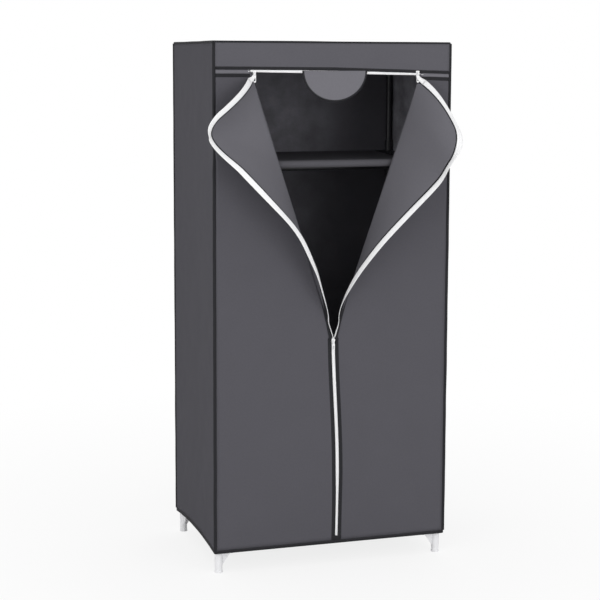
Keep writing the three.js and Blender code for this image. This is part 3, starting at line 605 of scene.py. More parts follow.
# 0 at a sheet's border and 1 beyond the given distance from it
def awayFromEdges(a, b, distance):
    near = np.minimum(np.minimum(a - a.min(), a.max() - a), np.minimum(b - b.min(), b.max() - b))
    return eased(near / distance)


# Columns of the right side's sheets run the other way, so that their outer face stays outside
def turnedFor(side, *grids):
    return [grid[:, ::-1] for grid in grids] if side > 0 else grids


# Back, sides and roof

cover = {"halfWidth": 0.3682, "low": 0.0743, "high": 1.5935, "grid": 0.012, "calm": 0.06}
backWall = {"half": 0.3682, "halfHem": 0.368, "face": cabinet["frontFace"], "pull": 0.004, "arch": 0,
            "wave": (0.0032, 7), "squeeze": 0.6, "wrinkle": (0.0009, 26)}
sideWall = {"half": 0.2432, "halfHem": 0.243, "face": cabinet["sideFace"], "pull": 0.0034, "arch": 0.014,
            "wave": (0.0016, 7), "squeeze": 0.6, "wrinkle": (0.0009, 26)}
roof = {"halfX": 0.369, "halfY": 0.244, "sag": 0.007, "wave": 0.0015, "scale": 8, "seed": 11, "calm": 0.05,
        "columns": 60, "rows": 40}

# Share of the inside colour on the back's inner face. It falls towards the right and below the shelf, as
# painted shade
backPaintedShade = {"left": 0.62, "right": 0.12, "from": -0.02, "to": 0.29, "below": 0.6}


def backPaintedShadeShare(x, z):
    across = eased((x - backPaintedShade["from"]) / (backPaintedShade["to"] - backPaintedShade["from"]))
    share = backPaintedShade["left"] + (backPaintedShade["right"] - backPaintedShade["left"]) * across
    return share * np.where(z < cabinet["shelfHeight"], backPaintedShade["below"], 1)


def makeWall(name, node, wall, turn, seed):
    half, halfHem, height = wall["half"], wall["halfHem"], cover["high"] - cover["low"]
    a, v = np.meshgrid(np.linspace(-half, half, round(2 * half / cover["grid"]) + 1),
                       np.linspace(0, 1, round(height / cover["grid"]) + 1))
    share = np.clip((a + halfHem) / (2 * halfHem), 0, 1)
    low = cover["low"] + wall["arch"] * 4 * share * (1 - share)
    z = low + (cover["high"] - low) * v
    loose = np.sin(np.pi * (a + half) / (2 * half)) * np.sin(np.pi * v)
    out = wall["face"] - cabinet["cloth"] / 2 - wall["pull"] * loose
    out = out + ripples(a, z, seed, wall) * awayFromEdges(a, z, cover["calm"])
    c, s = math.cos(turn), math.sin(turn)
    grid = stacked(a * c + out * s, a * s - out * c, z)
    # The back's inner face gets painted shade towards the right and below the shelf
    inside = backPaintedShadeShare(grid[..., 0], z) if wall is backWall else None
    piece = clothSheet(name, grid, stacked(a, z), "side", innerShare=inside)
    fasten(piece, node)


def makeRoof():
    a, b = np.meshgrid(np.linspace(-roof["halfX"], roof["halfX"], roof["columns"]),
                       np.linspace(-roof["halfY"], roof["halfY"], roof["rows"]))
    loose = np.sin(np.pi * (a / roof["halfX"] + 1) / 2) * np.sin(np.pi * (b / roof["halfY"] + 1) / 2)
    z = cabinet["roofFace"] - cabinet["cloth"] / 2 - roof["sag"] * loose
    z = z + roof["wave"] * fieldNoise(a, b, roof["seed"], roof["scale"]) * awayFromEdges(a, b, roof["calm"])
    piece = clothSheet("roofCloth", stacked(a, b, z), stacked(a, b), "header")
    fasten(piece, "roof_panel")


makeWall("backCloth", "back_panel", backWall, math.pi, 1)
makeWall("sideClothLeft", "side_panel_left", sideWall, -math.pi / 2, 2)
makeWall("sideClothRight", "side_panel_right", sideWall, math.pi / 2, 3)
makeRoof()
print("walls and roof made")


# Bound seams round the roof and down the corners, and the hem

seam = {"radius": 0.0052, "thin": 0.0044, "corner": 0.005, "step": 0.02, "sides": 14, "back": 0.9,
        "pinch": 0.18, "wander": 0.0006, "wanderStep": 0.02, "wanderScale": 9, "fadePoints": 4, "seed": 21,
        "legRadius": 0.0058, "legThin": 0.005, "legOut": 0.0022, "legLow": 0.0745, "legPoints": 90,
        "pressed": 0.0027, "pressedAt": 1.297, "pressedHalf": 0.032, "pressedFade": 0.045}
hem = {"low": 0.064, "height": 0.0105, "thick": 0.0028, "arch": 0.014, "inset": 0.0006, "step": 0.012,
       "stitchLift": 0.0032}


# Level loop with rounded corners, counter-clockwise, with its outward directions
def roundedLoop(halfX, halfY, radius, z, arch, step):
    points, outs = [], []
    corners = [(1, -1, -math.pi / 2), (1, 1, 0), (-1, 1, math.pi / 2), (-1, -1, math.pi)]
    for index, (sx, sy, start) in enumerate(corners):
        for turn in np.linspace(start, start + math.pi / 2, 6):
            points.append((sx * (halfX - radius) + radius * math.cos(turn),
                           sy * (halfY - radius) + radius * math.sin(turn), z))
            outs.append((math.cos(turn), math.sin(turn), 0))
        nextX, nextY, _ = corners[(index + 1) % 4]
        first, outward = np.array(points[-1]), outs[-1]
        edge = np.array([(nextX - sx) * (halfX - radius), (nextY - sy) * (halfY - radius), 0])
        count = max(2, round(np.linalg.norm(edge) / step))
        for share in np.arange(1, count) / count:
            rise = arch * 4 * share * (1 - share) if nextX == sx else 0
            points.append(first + edge * share + np.array([0, 0, rise]))
            outs.append(outward)
    return np.array(points), np.array(outs)


# Moves the points a little from their line, and leaves both ends in place
def wandering(points, seed):
    place = np.arange(len(points))
    shift = stacked(*(fieldNoise(place * seam["wanderStep"], k, seed, seam["wanderScale"]) for k in range(3)))
    fade = np.minimum(1, np.minimum(place, place[::-1]) / seam["fadePoints"])
    return points + shift * seam["wander"] * fade[:, None]


def beadSection(wide, thin):
    turns = np.linspace(0, 2 * math.pi, seam["sides"], endpoint=False)
    return [(wide * math.cos(t) * (1 if math.cos(t) > 0 else seam["back"]),
             thin * math.sin(t) * (1 - seam["pinch"] * math.cos(t) ** 2)) for t in turns]


def makeSeams():
    halfX, halfY, top = (cabinet[size] - seam["radius"] for size in ("halfWidth", "halfDepth", "height"))
    loop, outs = roundedLoop(halfX, halfY, seam["corner"], top, 0, seam["step"])
    slant = unit(outs + np.array(toTop))
    cross = unit(np.array(toTop) * slant[:, 2:] - outs * slant[:, 2:])
    parts = [sweptStrip("seamTop", wandering(loop, seam["seed"]), slant, cross,
                        beadSection(seam["radius"], seam["thin"]), "binding", True)]
    legIn = seam["corner"] * (1 - math.sqrt(0.5)) - seam["legOut"]
    z = np.linspace(seam["legLow"], top, seam["legPoints"])
    # The front left seam is pressed in where the left flap lies over it
    beyond = abs(z - seam["pressedAt"]) - seam["pressedHalf"]
    press = seam["pressed"] * eased(1 - beyond / seam["pressedFade"])
    for index, (sx, sy) in enumerate(((-1, -1), (1, -1), (1, 1), (-1, 1))):
        inward = legIn + press * (index == 0)
        path = wandering(stacked(sx * (halfX - inward), sy * (halfY - inward), z), seam["seed"] + 1 + index)
        out, side = (np.array(way) * math.sqrt(0.5) for way in ((sx, sy, 0), (-sy, sx, 0)))
        section = beadSection(seam["legRadius"], seam["legThin"])
        parts.append(sweptStrip("seamLeg", path, out, side, section, "binding", False))
    with bpy.context.temp_override(active_object=parts[0], selected_editable_objects=parts, object=parts[0]):
        bpy.ops.object.join()
    parts[0].name = "seamBinding"
    fasten(parts[0], "bound_seams")


def makeHem():
    loop, outs = roundedLoop(cabinet["sideFace"] - hem["inset"], cabinet["frontFace"] - hem["inset"],
                             seam["corner"], hem["low"] + hem["height"] / 2, hem["arch"], hem["step"])
    bound = ribbon("hemBinding", loop, hem["height"], hem["thick"], normal=outs, closed=True)
    fasten(bound, "hem_binding")
    line = loop + outs * hem["thick"] / 2 + np.array([0, 0, hem["stitchLift"]])
    stitchRow("hemStitches", (np.vstack([line, line[:1]]), np.vstack([outs, outs[:1]])))


makeSeams()
makeHem()
print("seams and hem made")


# Header band

header = {"low": 1.5135, "high": 1.5935, "tall": 0.08, "face": 0.2483, "belly": 0.0016, "wave": 0.0007,
          "scale": 9, "seed": 31, "calm": 0.03, "columns": 80, "rows": 12, "leftRise": 0.002,
          "rightDrop": 0.010, "binding": 0.010, "bindingThick": 0.0026, "stitchLift": 0.0034}


# The header's lower edge hangs a little askew, lowest at the right end
def headerLowAt(x):
    share = np.asarray(x) / cover["halfWidth"]
    return header["low"] + np.where(share < 0, -share * header["leftRise"], -share * header["rightDrop"])


def makeHeader():
    x = np.linspace(-cover["halfWidth"], cover["halfWidth"], header["columns"])
    a, b = np.meshgrid(x, np.linspace(0, 1, header["rows"]))
    low = headerLowAt(a)
    z = low + (header["high"] - low) * b
    loose = awayFromEdges(a, b * header["tall"], header["calm"])
    back = header["face"] + cabinet["cloth"] / 2
    out = back + header["belly"] * loose * np.sin(np.pi * b)
    out = out + header["wave"] * fieldNoise(a, z, header["seed"], header["scale"]) * loose
    piece = clothSheet("headerCloth", stacked(a, -out, z), stacked(a, z), "header")
    fasten(piece, "header_band")
    path = stacked(x, -back, headerLowAt(x) + header["binding"] / 2)
    bound = fasten(ribbon("headerBinding", path, header["binding"], header["bindingThick"]))
    line = path + np.array([0, -header["bindingThick"] / 2, header["stitchLift"]])
    stitches = stitchRow("headerStitches", (line, toFront))


makeHeader()


# Front panels, with the bound edges beside the zip and below the header

front = {"foldTopZ": 1.495, "foldLowZ": 0.705, "topEdge": 1.5295, "gap": 0.0003, "sag": 0.003,
         "looseTo": 0.97, "calm": 0.05, "wave": (0.0014, 8), "squeeze": 0.5, "wrinkle": (0.0006, 24),
         "seed": 41, "foldRise": 0.0015, "foldWidth": 0.010, "tuck": 0.004, "tuckRoom": 0.01,
         "creases": (1.039, 0.920, 0.673, 0.613, 0.277), "creaseRise": 0.0005, "creaseWidth": 0.006}
edging = {"thick": 0.0024, "zipWidth": 0.012, "zipIn": 0.0001, "zipStitch": 0.0038, "zipUp": 0.0005,
          "zipDown": 0.001, "top": 1.5045, "topHeight": 0.0105, "topEnd": 0.006, "topHang": 0.011,
          "topOut": 0.0001, "topStitch": 0.003,
          "facing": 0.014, "facingThick": 0.0014, "facingUp": 0.011, "facingIn": 0.0006,
          "foldTall": 0.15, "foldBelow": 0.002, "foldGap": 0.0006, "foldWide": 0.011, "foldNarrow": 0.001,
          "foldTaper": 1.5, "foldThick": 0.0012}
zipLine = {"lean": 0.0125, "bow": 0.0085, "bowSpan": 1.2, "low": 0.082, "half": 0.005, "narrowBy": 0.0013,
           "narrowFrom": 0.30, "narrowOver": 0.12}
foldTopX = {"left": 0.255, "right": 0.2698}


# Middle of the closed zip, which leans and bows a little, and half the width of its white tape there
def zipX(z):
    t = np.clip((front["foldLowZ"] - z) / (front["foldLowZ"] - zipLine["low"]), 0, 1)
    return zipLine["lean"] * t + zipLine["bow"] * np.sin(math.pi * t / zipLine["bowSpan"]) ** 2


def zipHalf(z):
    return zipLine["half"] - zipLine["narrowBy"] * eased((zipLine["narrowFrom"] - z) / zipLine["narrowOver"])


def foldX(end, z):
    return -np.maximum(0, z - front["foldLowZ"]) * foldTopX[end] / (front["foldTopZ"] - front["foldLowZ"])


# Level creases that the cloth has kept from being packed
def creases(z):
    return sum(np.exp(-np.abs(z - c) / front["creaseWidth"]) for c in front["creases"]) * front["creaseRise"]


def makeEdging(end, side):
    title, low, face = end.capitalize(), front["foldLowZ"], cabinet["frontFace"]
    z = np.linspace(cover["low"] + edging["zipUp"], low - edging["zipDown"], 50)
    edge = side * (zipHalf(z) + edging["zipIn"]) + zipX(z)
    path = stacked(edge + side * edging["zipWidth"] / 2, -face + edging["zipIn"], z)
    bound = ribbon("zipBinding" + title, path, edging["zipWidth"], edging["thick"], sideways=toRight)
    row = path + np.array([side * edging["zipStitch"], -edging["thick"] / 2, 0])
    pieces = [fasten(bound), stitchRow("zipBindingStitches" + title, (row, toFront))]
    z = np.linspace(low - edging["foldBelow"], low + edging["foldTall"], 20)
    taper = np.clip((z - low) / edging["foldTall"], 0, 1)
    start = np.where(z < low, -zipHalf(low), foldX(end, z)) - edging["foldGap"]
    wide = edging["foldWide"] * (1 - taper) ** edging["foldTaper"] + edging["foldNarrow"]
    rows = start[:, None] - wide[:, None] * np.linspace(0, 1, 4)
    grid = stacked(-side * rows, -face - edging["foldThick"], z[:, None])
    riser = clothSheet("foldBinding" + title, grid, grid[..., [0, 2]], "binding", edging["foldThick"])
    topZ = edging["top"] - edging["topHeight"] / 2
    x = np.linspace(-cover["halfWidth"], float(foldX(end, topZ)) - edging["topEnd"], 16)
    hang = edging["topHang"] * np.clip(-x / cover["halfWidth"], 0, 1) * (side > 0)
    top = stacked(-side * x, -face - edging["topOut"], topZ - hang)
    strip = ribbon("topBinding" + title, top, edging["topHeight"], edging["thick"])
    facing = ribbon("topFacing" + title, top + np.array([0, edging["facingIn"], edging["facingUp"]]),
                    edging["facing"], edging["facingThick"], "tab")
    row = top + np.array([0, -edging["thick"] / 2, -edging["topStitch"]])
    return [*pieces, fasten(riser), fasten(strip), fasten(facing),
            stitchRow("topBindingStitches" + title, (row, toFront))]


def makeFrontPanel(end, side):
    z = np.unique(np.concatenate([np.linspace(cover["low"], front["foldLowZ"], 54),
                                  np.linspace(front["foldLowZ"], front["topEdge"], 70)]))
    share, height = np.meshgrid(np.concatenate([np.linspace(0, 0.86, 22), np.linspace(0.88, 1, 7)]), z)
    below = height <= front["foldLowZ"]
    inner = np.where(below, -zipHalf(height) - side * zipX(height), foldX(end, height)) - front["gap"]
    outer = -cover["halfWidth"]
    x = outer + (inner - outer) * share
    loose = np.sin(np.pi * np.clip(share / front["looseTo"], 0, 1)) * np.sin(
        np.pi * (height - cover["low"]) / (front["topEdge"] - cover["low"]))
    away = awayFromEdges(x, height, front["calm"]) * np.clip((inner - x) / front["calm"], 0, 1)
    atFold = np.where(below, 0, np.clip(1 - (inner - x) / front["foldWidth"], 0, 1) ** 2) * front["foldRise"]
    face = cabinet["frontFace"] - cabinet["cloth"] / 2
    ripple = ripples(x, height, front["seed"] + side, front)
    out = face - front["sag"] * loose + (ripple + creases(height)) * away + atFold
    tucked = np.clip((height - header["low"] + front["tuck"]) / front["tuck"], 0, 1)
    out = np.minimum(out, face + (1 - tucked) * front["tuckRoom"])
    grid, flat = turnedFor(side, stacked(-side * x, -out, height), stacked(-side * x, height))
    piece = clothSheet("frontCloth" + end.capitalize(), grid, flat, "front")
    fasten(piece, "front_panel_" + end)
    makeEdging(end, side)


makeFrontPanel("left", -1)
makeFrontPanel("right", 1)
print("header and front panels made")


# Door flaps, folded back

flap = {"axisY": 0.2495, "tape": 0.017, "tapeThick": 0.0009, "chain": 0.9, "binding": 0.012, "narrowEnd": 0.4,
        "fullBy": 0.3, "calmFold": 0.05, "calmEdge": 0.04, "wave": (0.0016, 9), "squeeze": 0.5,
        "clothFrom": 0.085, "clothTo": 2.86, "teethFrom": 0.01, "probeIn": 0.006, "wrinkle": (0.0007, 26),
        "seed": 61, "gap": 0.0003, "slices": 8, "probe": 0.0004, "tapeEnd": 2.9,
        "lookUp": 0.02, "lookBy": 0.1, "sheetShare": 0.301}
flapTrim = {"boundGap": 0.0005, "boundLift": 0.0006, "boundThick": 0.0014, "edge": 0.0035, "edgeGap": 0.0002,
            "edgeLift": -0.0005, "edgeThick": 0.0012, "teethLift": 0.00035, "tapeStitch": 0.45,
            "tapeStitchLift": 0.00045, "seamIn": 0.002, "seamLift": 0.0013}
leader = {"out": 0.0012, "up": 0.003, "start": -0.06, "width": 0.010}
flapForms = {
    "left": {"side": -1, "degrees": (3, 73, 91, 105, 125, 142, 158, 120), "curl": 60, "droop": 0,
             "power": 1.5, "corner": 0.055, "top": 1.504, "bendFrom": -1.11, "bendTo": 0.68,
             "tapeTurns": (72, 44, 34, 45, 30, 29, -24, 13, 32, 29)},
    "right": {"side": 1, "degrees": (-20, 46, 77, 95, 107, 113, 110, 130), "curl": 0, "droop": 0.113,
              "power": 2.28, "corner": 0.079, "top": 1.5, "bendFrom": -0.18, "bendTo": 0.42,
              "tapeTurns": (104, 38, 36, 28, 16, -3, -22, 10, 48, 23)},
}
# Where the tape's turns are given, as shares of the flap's edge: 0 to 1 is up its side, 1 to 2 round its
# corner and 2 to 3 along its top
turnShares = (0, 0.12, 0.25, 0.4, 0.6, 0.8, 1.0, 1.5, 2.0, flap["tapeEnd"])
for end, form in flapForms.items():
    run = np.array([-foldTopX[end], front["foldTopZ"] - front["foldLowZ"]])
    form["topX"] = foldTopX[end]
    form["length"] = float(np.linalg.norm(run))
    form["along"] = run / form["length"]
    form["across"] = np.array([form["along"][1], -form["along"][0]])
    form["reach"] = (form["top"] - front["foldLowZ"]) * form["across"][1]


def edgeShares(low, straight, last, top):
    corner = np.linspace(1, 2, 12)
    return np.concatenate([np.linspace(low, 1, straight), corner[1:], np.linspace(2, last, top)[1:]])


# Smooth curve through the values given at some places
def smoothAlong(places, values, at):
    places, values = np.asarray(places, float), np.asarray(values, float)
    slopes = np.gradient(values, places)
    k = np.clip(np.searchsorted(places, at) - 1, 0, len(places) - 2)
    gap = places[k + 1] - places[k]
    t = np.clip((at - places[k]) / gap, 0, 1)
    return (values[k] * (1 + 2 * t) * (1 - t) ** 2 + slopes[k] * gap * t * (1 - t) ** 2
            + values[k + 1] * t * t * (3 - 2 * t) + slopes[k + 1] * gap * t * t * (t - 1))


# Distances up the fold line and across it of points on the shut flap
def foldPlace(form, x, z):
    up = z - front["foldLowZ"]
    along = x * form["along"][0] + up * form["along"][1]
    return along, np.maximum(0, x * form["across"][0] + up * form["across"][1])


# The point of the shut flap at the given distances up its fold line and across it
def flatPoint(form, along, across):
    return (along * form["along"][0] + across * form["across"][0],
            front["foldLowZ"] + along * form["along"][1] + across * form["across"][1])


def foldedPoints(form, x, z):
    along, across = foldPlace(form, x, z)
    places = np.linspace(0, 1, len(form["degrees"]))
    angle = np.radians(smoothAlong(places, form["degrees"], np.clip(along / form["length"], 0, 1)))
    curl = math.radians(form["curl"]) * across / form["reach"]
    inward, outward = np.zeros_like(across), np.zeros_like(across)
    for k in range(flap["slices"]):
        here = angle + curl * ((k + 0.5) / flap["slices"] - 0.5)
        inward += np.cos(here) * across / flap["slices"]
        outward += np.sin(here) * across / flap["slices"]
    flatX, flatZ = flatPoint(form, along, inward)
    drop = form["droop"] * (across / form["reach"]) ** form["power"]
    return stacked(-form["side"] * flatX, -flap["axisY"] - outward, flatZ - drop)


# Point of the shut flap's edge at the given inset from it and share along it
def flapEdge(form, inset, share):
    radius = form["corner"] - inset
    top = form["top"] - inset
    turn = np.clip(share - 1, 0, 1) * math.pi / 2
    alongTop = radius - inset + (radius + inset - form["topX"]) * (share - 2)
    x = np.where(share < 1, -inset, np.where(share < 2, radius * np.cos(turn) - radius - inset,
                                             alongTop - 2 * radius))
    z = np.where(share < 1, front["foldLowZ"] + (top - radius - front["foldLowZ"]) * share,
                 np.where(share < 2, top - radius + radius * np.sin(turn), top))
    return flatPoint(form, *foldPlace(form, x, z))


# Normals of the folded flap that point to its outer face, as a shut flap's does
def flapNormals(form, x, z):
    d = flap["probe"]
    alongX = foldedPoints(form, x + d, z) - foldedPoints(form, x - d, z)
    alongZ = foldedPoints(form, x, z + d) - foldedPoints(form, x, z - d)
    return unit(np.cross(alongX, alongZ) * -form["side"])


def bendWithDoor(piece):
    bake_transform(piece)


def flapStrip(name, form, insets, shares, lift, thick):
    x, z = flapEdge(form, insets, shares[:, None])
    grid = foldedPoints(form, x, z) + flapNormals(form, x, z) * lift
    flat = stacked(runAlong(stacked(x[:, -1], z[:, -1]))[:, None], insets)
    strip = clothSheet(name, *turnedFor(form["side"], grid, flat), "binding", thick)
    return fasten(strip, body=None)


# The tape turns about the cloth's edge as it runs along: the edge itself, the direction across the tape,
# the tape's own normal and its width, at each share of the way
def tapeFrame(form, shares):
    x, z = flapEdge(form, flap["tape"], shares)
    spine = foldedPoints(form, x, z)
    ahead = unit(np.gradient(spine, axis=0))
    level = flapNormals(form, x, z + flap["lookUp"] * np.clip(1 - shares / flap["lookBy"], 0, 1))
    level = unit(level - ahead * (level * ahead).sum(1)[:, None])
    away = np.cross(ahead, level)
    probe = foldedPoints(form, *flapEdge(form, flap["tape"] - flap["probeIn"], shares)) - spine
    away = away * np.sign((away * probe)[20:].sum())
    turn = smoothAlong(turnShares, form["tapeTurns"], np.clip(shares, 0, flap["tapeEnd"]))
    turn = np.radians(turn)[:, None]
    narrow = flap["narrowEnd"]
    wide = flap["tape"] * (narrow + (1 - narrow) * np.clip(shares / flap["fullBy"], 0, 1))[:, None]
    return spine, away * np.cos(turn) + level * np.sin(turn), level * np.cos(turn) - away * np.sin(turn), wide


# Short end of the tape, from the flap's top up into the slider of the header's zip
def makeLeader(end, spine, away, wide):
    low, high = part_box("header_" + end + "_slider")
    goal = np.array([(low.x + high.x) / 2 - middle.x, -cabinet["frontFace"] - leader["out"],
                     low.z + leader["up"]])
    first = spine[-1] + away[-1] * wide[-1] / 2
    leave = unit(spine[-1] - spine[-3])
    reach = np.linalg.norm(goal - first)
    t = np.linspace(leader["start"], 1, 12)[:, None]
    path = first * (2 * t ** 3 - 3 * t * t + 1) + leave * reach * (t ** 3 - 2 * t * t + t) + goal * (
        3 * t * t - 2 * t ** 3) + np.array(toTop) * reach * (t ** 3 - t * t)
    share = np.clip(t, 0, 1)
    turned = unit(away[-1] * (1 - share) + np.array([np.sign(away[-1][0]), 0, 0]) * share)
    width = wide[-1] * (1 - share) + leader["width"] * share
    grid = path[:, None] + (turned * width)[:, None] * np.linspace(-0.5, 0.5, 4)[:, None]
    flat = stacked(np.linspace(0, leader["width"], 4), t * reach)
    piece = clothSheet("flapTapeEnd" + end.capitalize(), grid, flat, "tape", flap["tapeThick"])
    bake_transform(piece)
    return piece


# Cloth of the flap, its widest reach and its area
def makeFlapCloth(end, form, shares):
    edgeAlong, edgeAcross = (value[:, None] for value in foldPlace(
        form, *flapEdge(form, flap["tape"] + flap["gap"], shares)))
    across = edgeAcross * np.linspace(0, 1, 26)
    x, z = flatPoint(form, edgeAlong, across)
    free = np.clip(across / flap["calmFold"], 0, 1)
    free = free * np.clip((edgeAcross - across - flap["binding"]) / flap["calmEdge"], 0, 1)
    rise = (ripples(x, z, flap["seed"] + form["side"], flap) + creases(z)) * free
    grid = foldedPoints(form, x, z) + flapNormals(form, x, z) * rise[..., None]
    flat = stacked(x, z)
    a, b, c, d = flat[:-1, :-1], flat[:-1, 1:], flat[1:, 1:], flat[1:, :-1]
    area = float(0.5 * np.abs(np.cross(c - a, d - b)).sum())
    cloth = clothSheet("flapCloth" + end.capitalize(), *turnedFor(form["side"], grid, flat), "flap")
    return fasten(cloth, "door_flap_" + end, None), float(across.max()), area


def makeFlap(end):
    form, title = flapForms[end], end.capitalize()
    shares = edgeShares(flap["clothFrom"], 62, flap["clothTo"], 16)
    cloth, widest, area = makeFlapCloth(end, form, shares)
    tapeShares = edgeShares(0, 70, flap["tapeEnd"], 16)
    spine, away, _, wide = tapeFrame(form, tapeShares)
    steps = np.linspace(0, 1, 6)
    grid = spine[:, None] + (away * wide)[:, None] * steps[:, None]
    flat = stacked(steps * flap["tape"], runAlong(spine)[:, None])
    tape = clothSheet("flapTape" + title, grid, flat, "tape", flap["tapeThick"])
    fasten(tape, "door_zip_" + end, None)
    insets = flap["tape"] + np.linspace(flap["binding"], flapTrim["boundGap"], 4)
    bound = flapStrip("flapBinding" + title, form, insets, shares, flapTrim["boundLift"],
                      flapTrim["boundThick"])
    insets = flap["tape"] + np.linspace(flapTrim["edge"], flapTrim["edgeGap"], 3)
    edge = flapStrip("flapEdging" + title, form, insets, shares, flapTrim["edgeLift"], flapTrim["edgeThick"])
    dense = np.linspace(flap["teethFrom"], flap["tapeEnd"], 260)
    line, across, facing, width = tapeFrame(form, dense)

    def onTape(part, lift):
        return line + across * width * part + facing * lift
    teeth = teethRow("flapTeeth" + title, (onTape(flap["chain"], flapTrim["teethLift"]), facing), body=None)
    rows = [(onTape(flapTrim["tapeStitch"], way * flapTrim["tapeStitchLift"])[16:], way * facing[16:])
            for way in (-1, 1)]
    tapeStitches = stitchRow("flapTapeStitches" + title, *rows, look="whiteThread", slot="zip_tape",
                             body=None)
    seamX, seamZ = flapEdge(form, flap["tape"] + flap["binding"] - flapTrim["seamIn"], dense[20:-12])
    normals = flapNormals(form, seamX, seamZ)
    seamLine = foldedPoints(form, seamX, seamZ) + normals * flapTrim["seamLift"]
    stitches = stitchRow("flapBindingStitches" + title, (seamLine, normals), body=None)
    others = [tape, bound, edge, teeth, tapeStitches, stitches]
    for piece in (cloth, *others):
        bendWithDoor(piece)
    others.append(makeLeader(end, spine, away, wide))
    area = max(area, flap["sheetShare"] * widest * form["length"])


makeFlap("left")
makeFlap("right")
print("door flaps made")


# The zips that stay with the cover, and the half-moon tab

headerZip = {"past": 0.012, "hang": 0.0062, "bow": 0.002, "bowHalf": 0.28, "width": 0.021, "thick": 0.0011,
             "in": 0.0006, "teethUp": 0.0022, "stitchUp": 0.0042, "out": 0.0001}
lowerZip = {"low": 0.083, "above": 0.004, "in": 0.0004, "thick": 0.0011, "teethApart": 0.0012,
            "teethOut": 0.0002, "stitchApart": 0.0036, "stitchOut": 0.0007}
patch = {"half": 0.015, "height": 0.014, "thick": 0.0018, "out": 0.0007}
moon = {"radius": 0.102, "depth": 0.905, "top": 1.513, "back": 0.2493, "inset": 0.0015, "binding": 0.0065,
        "thick": 0.0018, "stitchIn": 0.0018}


def makeHeaderZip():
    x = np.linspace(-foldTopX["left"] - headerZip["past"], foldTopX["right"] + headerZip["past"], 60)
    low = headerLowAt(x) - headerZip["hang"] - headerZip["bow"] * (1 - (x / headerZip["bowHalf"]) ** 2)
    path = stacked(x, -cabinet["frontFace"] + headerZip["in"], low + headerZip["width"] / 2)
    tape = ribbon("headerZipTape", path, headerZip["width"], headerZip["thick"], "tape")
    fasten(tape, "header_zip")
    line = stacked(x, -cabinet["frontFace"] - headerZip["out"], low + headerZip["teethUp"])
    teethRow("headerZipTeeth", (line, toFront))
    row = line + np.array([0, -headerZip["out"], headerZip["stitchUp"]])
    stitchRow("headerZipStitches", (row, toFront), look="whiteThread", slot="zip_tape")


def makeLowerZip():
    face = cabinet["frontFace"]
    z = np.linspace(lowerZip["low"], front["foldLowZ"] + lowerZip["above"], 60)
    x = zipX(z)
    path = stacked(x, -face + lowerZip["in"], z)
    grid = path[:, None] + (zipHalf(z)[:, None] * np.linspace(-1, 1, 7))[..., None] * np.array(toRight)
    tape = clothSheet("lowerZipTape", grid, grid[..., [0, 2]], "tape", lowerZip["thick"])
    fasten(tape, "lower_zip")
    lines = [(stacked(x + side * lowerZip["teethApart"], -face - lowerZip["teethOut"], z + lift), toFront)
             for side, lift in ((-1, 0), (1, tooth["pitch"] / 2))]
    teethRow("lowerZipTeeth", *lines)
    for side, name in ((-1, "Left"), (1, "Right")):
        row = path + np.array([side * lowerZip["stitchApart"], -lowerZip["stitchOut"], 0])
        stitchRow("lowerZipStitches" + name, (row, toFront), look="whiteThread", slot="zip_tape")
    endX = float(zipX(zipLine["low"]))
    across = np.linspace(endX - patch["half"], endX + patch["half"], 6)
    line = stacked(across, -face - patch["out"], zipLine["low"])
    fasten(ribbon("zipEndPatch", line, patch["height"], patch["thick"]))


def makeHalfMoon():
    turns = np.pi * np.linspace(0.004, 0.996, 44)
    reach, out = moon["radius"] - moon["inset"], moon["back"] + cabinet["cloth"] / 2
    down = np.linspace(1, 0, 18)[:, None]
    flat = stacked(-reach * np.cos(turns), -reach * moon["depth"] * np.sin(turns) * down)
    cloth = clothSheet("halfMoonCloth", stacked(flat[..., 0], -out, moon["top"] + flat[..., 1]), flat, "tab")
    fasten(cloth, "half_moon_tab", "half_moon")
    turns = np.linspace(0, math.pi, 64)
    radial = stacked(-np.cos(turns), 0, -np.sin(turns))
    squeezed = np.array([1, 1, moon["depth"]])
    middleRadius = moon["radius"] - moon["binding"] / 2
    path = radial * squeezed * middleRadius + np.array([0, -out, moon["top"]])
    bound = ribbon("halfMoonBinding", path, moon["binding"], moon["thick"], sideways=radial)
    fasten(bound, body="half_moon")
    row = radial * squeezed * (middleRadius - moon["stitchIn"]) + np.array(
        [0, -out - moon["thick"] / 2, moon["top"]])
    stitches = stitchRow("halfMoonStitches", (row, toFront), body="half_moon")


makeHeaderZip()
makeLowerZip()
makeHalfMoon()
print("zips and half-moon tab made")


# Shelf cloth and base cloth, sleeved round their front and back rails

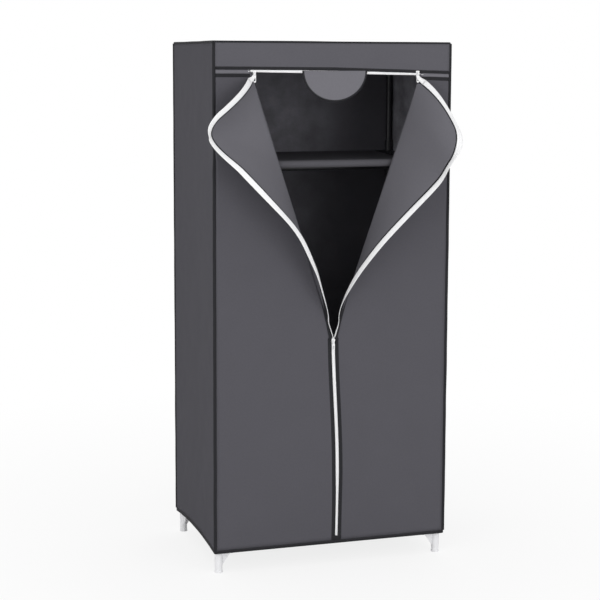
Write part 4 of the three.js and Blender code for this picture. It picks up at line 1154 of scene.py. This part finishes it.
shelf = {"round": 0.0104, "halfWidth": 0.3069, "flange": 0.036, "seamGap": 0.0016, "bend": 0.026,
         "bendGap": 0.002, "turnFrom": -62, "turnTo": -270, "under": 0.015, "underDrop": 0.004,
         "start": 0.004, "wave": 0.0014, "scale": 10, "stitchIn": 0.005, "stitchLift": 0.0006}


def makeShelfCloth(name, node, height, sag, seed):
    y0, r = cabinet["railY"], shelf["round"]

    def top(y):
        return r - sag * (1 - (y / y0) ** 2)
    sleeve = [(-y0 + at, top(-y0 + at) - gap) for at, gap in (
        (shelf["flange"], shelf["seamGap"]), (shelf["bend"], shelf["bendGap"]))]
    sleeve.append((-y0 + shelf["under"], -shelf["underDrop"]))
    turns = np.radians(np.linspace(shelf["turnFrom"], shelf["turnTo"], 18))
    sleeve += [(-y0 + r * math.cos(t), r * math.sin(t)) for t in turns]
    inner = np.linspace(-y0 + shelf["start"], y0 - shelf["start"], 44)
    yz = np.array([*sleeve, *((y, top(y)) for y in inner), *((-y, z) for y, z in reversed(sleeve))])
    x = np.linspace(-shelf["halfWidth"], shelf["halfWidth"], 56)
    a, index = np.meshgrid(x, np.arange(len(yz)))
    y, z, run = yz[index, 0], yz[index, 1], runAlong(yz)
    between = (index > len(sleeve) + 3) & (index < len(yz) - len(sleeve) - 4)
    ripple = shelf["wave"] * fieldNoise(a, y, seed, shelf["scale"]) * between
    grid, flat = stacked(a, y, z + ripple + height), stacked(a, run[index])
    cloth = clothSheet(name, grid[:, ::-1], flat[:, ::-1], "shelf")
    fasten(cloth, node)
    rows = [(stacked(x, at, height + top(at) + shelf["stitchLift"]), toTop)
            for at in (-y0 + shelf["flange"] - shelf["stitchIn"], y0 - shelf["flange"] + shelf["stitchIn"])]
    stitches = stitchRow(name + "Stitches", *rows, slot="shelf_fabric")


makeShelfCloth("shelfSling", "shelf_cloth", cabinet["shelfHeight"], 0.007, 71)
makeShelfCloth("baseSling", "base_cloth", cabinet["baseHeight"], 0.004, 72)
for shape in (stitchShape, toothShape):
    bpy.data.objects.remove(shape)
print("shelf and base cloths made")
